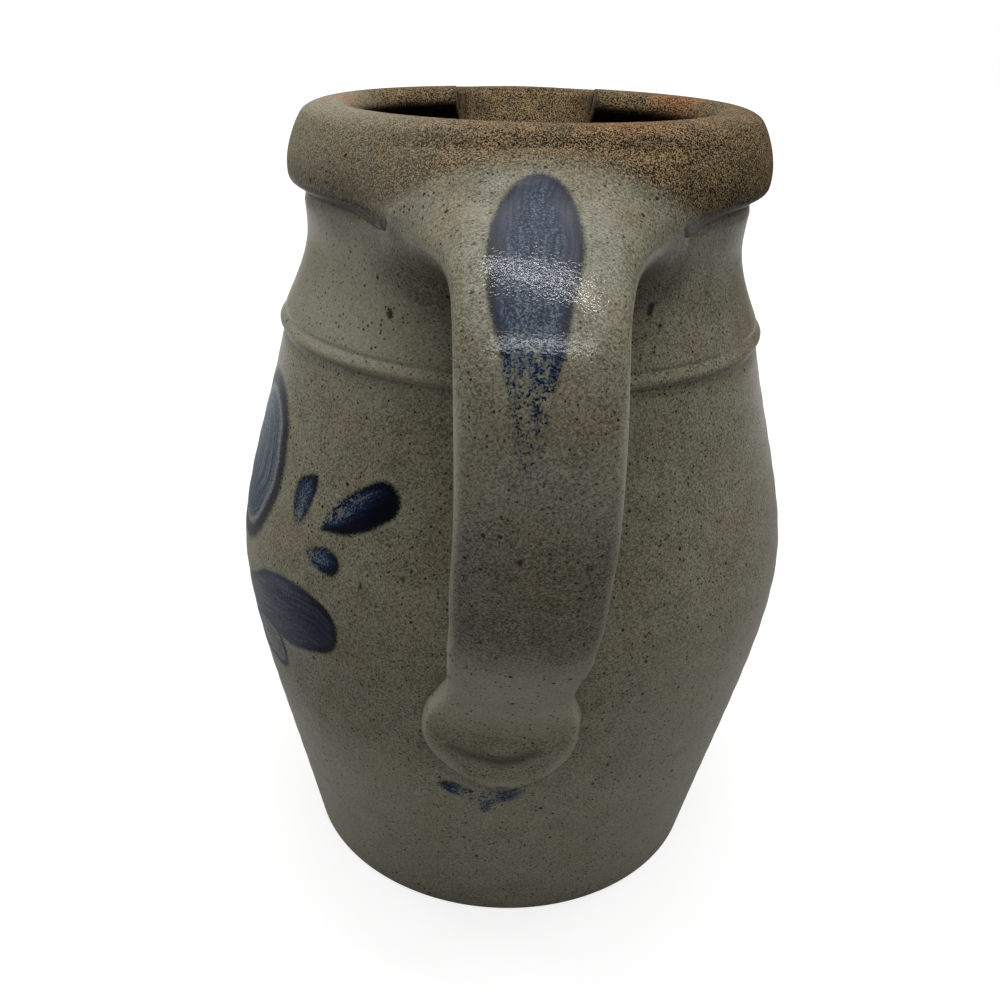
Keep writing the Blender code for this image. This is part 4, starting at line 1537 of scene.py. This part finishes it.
def glaze_shine(tree, shader, zone, noise, toast):
    """Roughness: a soft sheen on the glaze, dry where toasted or bare, smooth on the liner."""
    rough = add(tree, "ShaderNodeMath", {0: noise["peel"], 1: 0.20, 2: 0.26}, operation="MULTIPLY_ADD")
    for cover, value in ((toast, 0.80), (zone["liner"], 0.16), (zone["bare"], 0.85)):
        rough = add(tree, "ShaderNodeMix", {0: cover, 2: rough, 3: value})
    tree.links.new(rough.outputs[0], shader.inputs["Roughness"])
    shader.inputs["IOR"].default_value = 1.5
    shader.inputs["Specular IOR Level"].default_value = 0.08


def glaze_relief(tree, shader, noise, toast, cover, grain_height):
    """Relief in mm: orange peel, smoother where cobalt made the glaze flow, and turning lines."""
    flowed = add(tree, "ShaderNodeMix", {0: cover, 2: grain_height, 3: 0.8 * grain_height})
    depth = add(tree, "ShaderNodeMix", {0: toast, 2: flowed, 3: TOAST_HEIGHT})
    sockets = {0: noise["grain"], 1: 0.2, 2: noise["peel"]}
    height = add(tree, "ShaderNodeMath", sockets, operation="MULTIPLY_ADD")
    height = add(tree, "ShaderNodeMath", {0: height, 1: depth}, operation="MULTIPLY")
    sockets = {0: noise["mm"], 1: (0.01, 0.01, 1 / TURNING_MM)}
    lines = add(tree, "ShaderNodeVectorMath", sockets, operation="MULTIPLY")
    lines = add(tree, "ShaderNodeTexNoise", {"Vector": lines, "Scale": 1, "Detail": 1})
    height = add(tree, "ShaderNodeMath", {0: lines, 1: 0.05, 2: height}, operation="MULTIPLY_ADD")
    relief = add(tree, "ShaderNodeBump", {"Strength": 1, "Distance": 0.001, "Height": height})
    tree.links.new(relief.outputs[0], shader.inputs["Normal"])
    return relief


def clear_film(tree, shader, zone, relief, film):
    """A thicker film of clear glaze, which gives the white glints."""
    wet = add(tree, "ShaderNodeMath", {0: zone["glassy"], 1: film}, operation="MULTIPLY")
    tree.links.new(wet.outputs[0], shader.inputs["Coat Weight"])
    tree.links.new(relief.outputs[0], shader.inputs["Coat Normal"])
    shader.inputs["Coat Roughness"].default_value = 0.10
    shader.inputs["Coat IOR"].default_value = 1.5


print("turning lines of", TURNING_MM, "mm")


# %% Fired stoneware for the four pieces
def fired_stoneware(name, grain_height, film=0.0):
    """Salt-glazed stoneware, fired as one pot.

    To the eye: a mottled grey with tan clouds, dark iron specks and a pebbled sheen; brown, drier
    and coarser where toasted; blue to black where cobalt lies under the glaze; glossy where a film
    of clear glaze is given.
    """
    look = bpy.data.materials.new(name)
    look.use_nodes = True
    tree = look.node_tree
    shader = tree.nodes["Principled BSDF"]
    zone, noise = patterns(tree)
    colour = grey_glaze(tree, zone, noise)
    colour, toast = toasted_clay(tree, zone, noise, colour)
    iron = iron_specks(tree, zone, noise)
    stain = slip_stain(tree, zone, noise)
    cobalt, cover = cobalt_brushwork(tree, zone, noise)
    for share, top in (
        (stain, paint(IRON_AND_SHADE_BROWN)),
        (cover, cobalt),
        (iron, paint(IRON_AND_SHADE_BROWN)),
        (zone["liner"], paint(LINER_BROWN)),
        (zone["bare"], paint(BARE_CLAY)),
    ):
        colour = add(tree, "ShaderNodeMix", {0: share, 6: colour, 7: top}, data_type="RGBA")
    tree.links.new(colour.outputs[2], shader.inputs["Base Color"])
    glaze_shine(tree, shader, zone, noise, toast)
    relief = glaze_relief(tree, shader, noise, toast, cover, grain_height)
    if film:
        clear_film(tree, shader, zone, relief, film)
    print(name, "has", len(tree.nodes), "nodes")
    return look


POT_GRAIN_MM = 0.055
STRAP_GRAIN_MM = 0.075
STRAP_FILM = 0.60
body.data.materials.append(fired_stoneware("Salt-glazed grey stoneware body", POT_GRAIN_MM))
collar.data.materials.append(fired_stoneware("Toasted salt-glazed stoneware collar", POT_GRAIN_MM))
spout.data.materials.append(fired_stoneware("Toasted salt-glazed stoneware spout", POT_GRAIN_MM))
strap_look = fired_stoneware("Salt-glazed grey stoneware handle", STRAP_GRAIN_MM, STRAP_FILM)
handle.data.materials.append(strap_look)

# %% [markdown]
# ## Riding on the model
#
# Every piece is tied to the one body of the part and stands for one of its nodes.

# %% Ride on the imported model
for piece, node, slot in (
    (body, "thrown_body", "salt_glazed_body"),
    (collar, "rim_collar", "toasted_collar"),
    (spout, "pour_spout", "toasted_spout"),
    (handle, "strap_handle", "salt_glazed_handle"),
):
    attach(piece, "root")
    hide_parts(node)
    print(piece.name, "stands for", node)

# %% [markdown]
# ## The floor
#
# The photograph shows the pot cut out on white, with only a soft shadow under it. A plain white floor
# would throw so much light back that the belly and the underside of the handle would look washed out.
# So the camera sees white paper with a shadow, and reflections see white further off. The light that
# the floor throws back is that of grey paper, with a slightly lighter card under and before the pot.

# %% White floor
FLOOR_HALF = 4
CARD_GREY = "#B2B2B2"
PAPER_GREY = "#8C8C8C"
SHADOW_GREY = 0.30
floor_corners = [(x * FLOOR_HALF, y * FLOOR_HALF, 0) for x, y in ((-1, -1), (1, -1), (1, 1), (-1, 1))]
floor_mesh = bpy.data.meshes.new("floor")
floor_mesh.from_pydata(floor_corners, [], [(0, 1, 2, 3)])
floor = bpy.data.objects.new("floor", floor_mesh)
bpy.context.scene.collection.objects.link(floor)
# Uncoated paper: matt, with no mirror image of the pot
paper = bpy.data.materials.new("White paper floor")
paper.use_nodes = True
tree = paper.node_tree
sheet = tree.nodes["Principled BSDF"]
sheet.inputs["Roughness"].default_value = 0.9
seen = add(tree, "ShaderNodeLightPath")
spot = add(tree, "ShaderNodeTexCoord").outputs["Object"]
reach = add(tree, "ShaderNodeVectorMath", {0: spot}, operation="LENGTH").outputs["Value"]
ahead = add(tree, "ShaderNodeSeparateXYZ", {"Vector": spot})
aside = add(tree, "ShaderNodeMath", {0: ahead.outputs["X"]}, operation="ABSOLUTE")
card = add(tree, "ShaderNodeMapRange", {"Value": ahead.outputs["Y"], "From Min": 0.44, "From Max": 0.30})
narrow = add(tree, "ShaderNodeMapRange", {"Value": aside, "From Min": 0.66, "From Max": 0.54})
card = add(tree, "ShaderNodeMath", {0: card, 1: narrow}, operation="MULTIPLY")
sockets = {0: card, 6: paint(PAPER_GREY), 7: paint(CARD_GREY)}
laid = add(tree, "ShaderNodeMix", sockets, data_type="RGBA")
tree.links.new(laid.outputs[2], sheet.inputs["Base Color"])
sockets = {"Value": reach, "From Min": 0.20, "From Max": 0.80, "To Min": 0.80, "To Max": 1.0}
glow = add(tree, "ShaderNodeMapRange", sockets)
white = add(tree, "ShaderNodeEmission", {"Color": (1, 1, 1, 1), "Strength": glow})
shadowed = add(tree, "ShaderNodeBsdfDiffuse", {"Color": (SHADOW_GREY, SHADOW_GREY, SHADOW_GREY, 1)})
shown = add(tree, "ShaderNodeAddShader", {0: shadowed, 1: white})
sockets = {0: seen.outputs["Is Camera Ray"], 1: seen.outputs["Is Transmission Ray"]}
direct = add(tree, "ShaderNodeMath", sockets, operation="MAXIMUM")
off_card = add(tree, "ShaderNodeMath", {0: 1, 1: card}, operation="SUBTRACT")
sockets = {0: seen.outputs["Is Glossy Ray"], 1: off_card}
mirrored_white = add(tree, "ShaderNodeMath", sockets, operation="MULTIPLY")
direct = add(tree, "ShaderNodeMath", {0: direct, 1: mirrored_white}, operation="MAXIMUM")
both = add(tree, "ShaderNodeMixShader", {0: direct, 1: sheet, 2: shown})
tree.links.new(both.outputs[0], tree.nodes["Material Output"].inputs["Surface"])
floor.data.materials.append(paper)
print("floor of", 2 * FLOOR_HALF, "m with", len(tree.nodes), "nodes")

# %% [markdown]
# ## The room
#
# A white room would light the pot evenly and flatten it. The camera and the reflections see a white
# room, while the light that it gives is turned down, so that the soft boxes shape the pot.

# %% White room
ROOM_LIGHT = 0.40
world = bpy.data.worlds.new("white room")
bpy.context.scene.world = world
world.use_nodes = True
tree = world.node_tree
room = tree.nodes["Background"]
room.inputs["Color"].default_value = (1, 1, 1, 1)
seen = add(tree, "ShaderNodeLightPath")
direct = seen.outputs["Is Camera Ray"]
for ray in ("Is Transmission Ray", "Is Glossy Ray"):
    direct = add(tree, "ShaderNodeMath", {0: direct, 1: seen.outputs[ray]}, operation="MAXIMUM")
level = add(tree, "ShaderNodeMapRange", {"Value": direct, "To Min": ROOM_LIGHT, "To Max": 1})
tree.links.new(level.outputs[0], room.inputs["Strength"])
print("room lights the pot at", ROOM_LIGHT)

# %% [markdown]
# ## Soft boxes and a dark board
#
# The pot is lit from above and from both sides, with little light from the camera's side. A large box
# overhead and two tall ones beside and behind give soft light without shine. The two glints on the
# handle come from a narrow strip overhead and a long box above the camera. A dark board bent round the
# camera's side keeps the front deep. A ready-made picture of a studio could light it too, but then
# the glints couldn't be moved one by one.


# %% Soft boxes: place, aim, width and height in metres, and power in watts
def soft_box(name, place_m, aim, wide, tall, watts, shine=True):
    """A rectangular soft light at a place, turned towards a point of the pot, with or without shine."""
    lamp = bpy.data.lights.new(name, "AREA")
    lamp.shape = "RECTANGLE"
    lamp.size = wide
    lamp.size_y = tall
    lamp.energy = watts
    box = bpy.data.objects.new(name, lamp)
    box.location = place_m
    box.visible_glossy = shine
    box.rotation_euler = (Vector(aim) - Vector(place_m)).to_track_quat("-Z", "Y").to_euler()
    bpy.context.scene.collection.objects.link(box)
    print(name, watts, "W")


soft_box("overhead_box", (0, 0, 1.05), (0, 0, 0.1), 0.90, 0.90, 3.9, shine=False)
soft_box("overhead_strip", (0.03, -0.02, 1.00), (0, -0.10, 0.18), 0.80, 0.020, 2.2)
soft_box("left_box", (-0.9, 0.45, 0.35), (0, 0, 0.12), 0.4, 0.9, 5.0, shine=False)
soft_box("right_box", (0.9, 0.45, 0.35), (0, 0, 0.12), 0.4, 0.9, 3.2, shine=False)
soft_box("camera_box", (0.04, -0.71, 0.96), (0, -0.1, 0.17), 0.95, 0.085, 2.6)

# %% Dark board round the camera's side
BOARD_RADIUS = 1.1
BOARD_HEIGHT = 1.15
bend = np.radians(np.linspace(-150, 150, 39))
board_line = np.column_stack([BOARD_RADIUS * np.sin(bend), -BOARD_RADIUS * np.cos(bend)])
board_grid = np.array([[(x, y, z) for x, y in board_line] for z in (0.0, BOARD_HEIGHT)])
board = skinned("dark_board", board_grid)
board.visible_camera = False
# Black wool felt: it swallows light and has no shine at all
felt = bpy.data.materials.new("Black felt board")
felt.use_nodes = True
nap = felt.node_tree.nodes["Principled BSDF"]
nap.inputs["Base Color"].default_value = paint("#1E1E1E")
nap.inputs["Roughness"].default_value = 1
nap.inputs["Specular IOR Level"].default_value = 0
board.data.materials.append(felt)
bpy.context.scene.view_settings.view_transform = "Standard"
print("board", BOARD_HEIGHT, "m high")
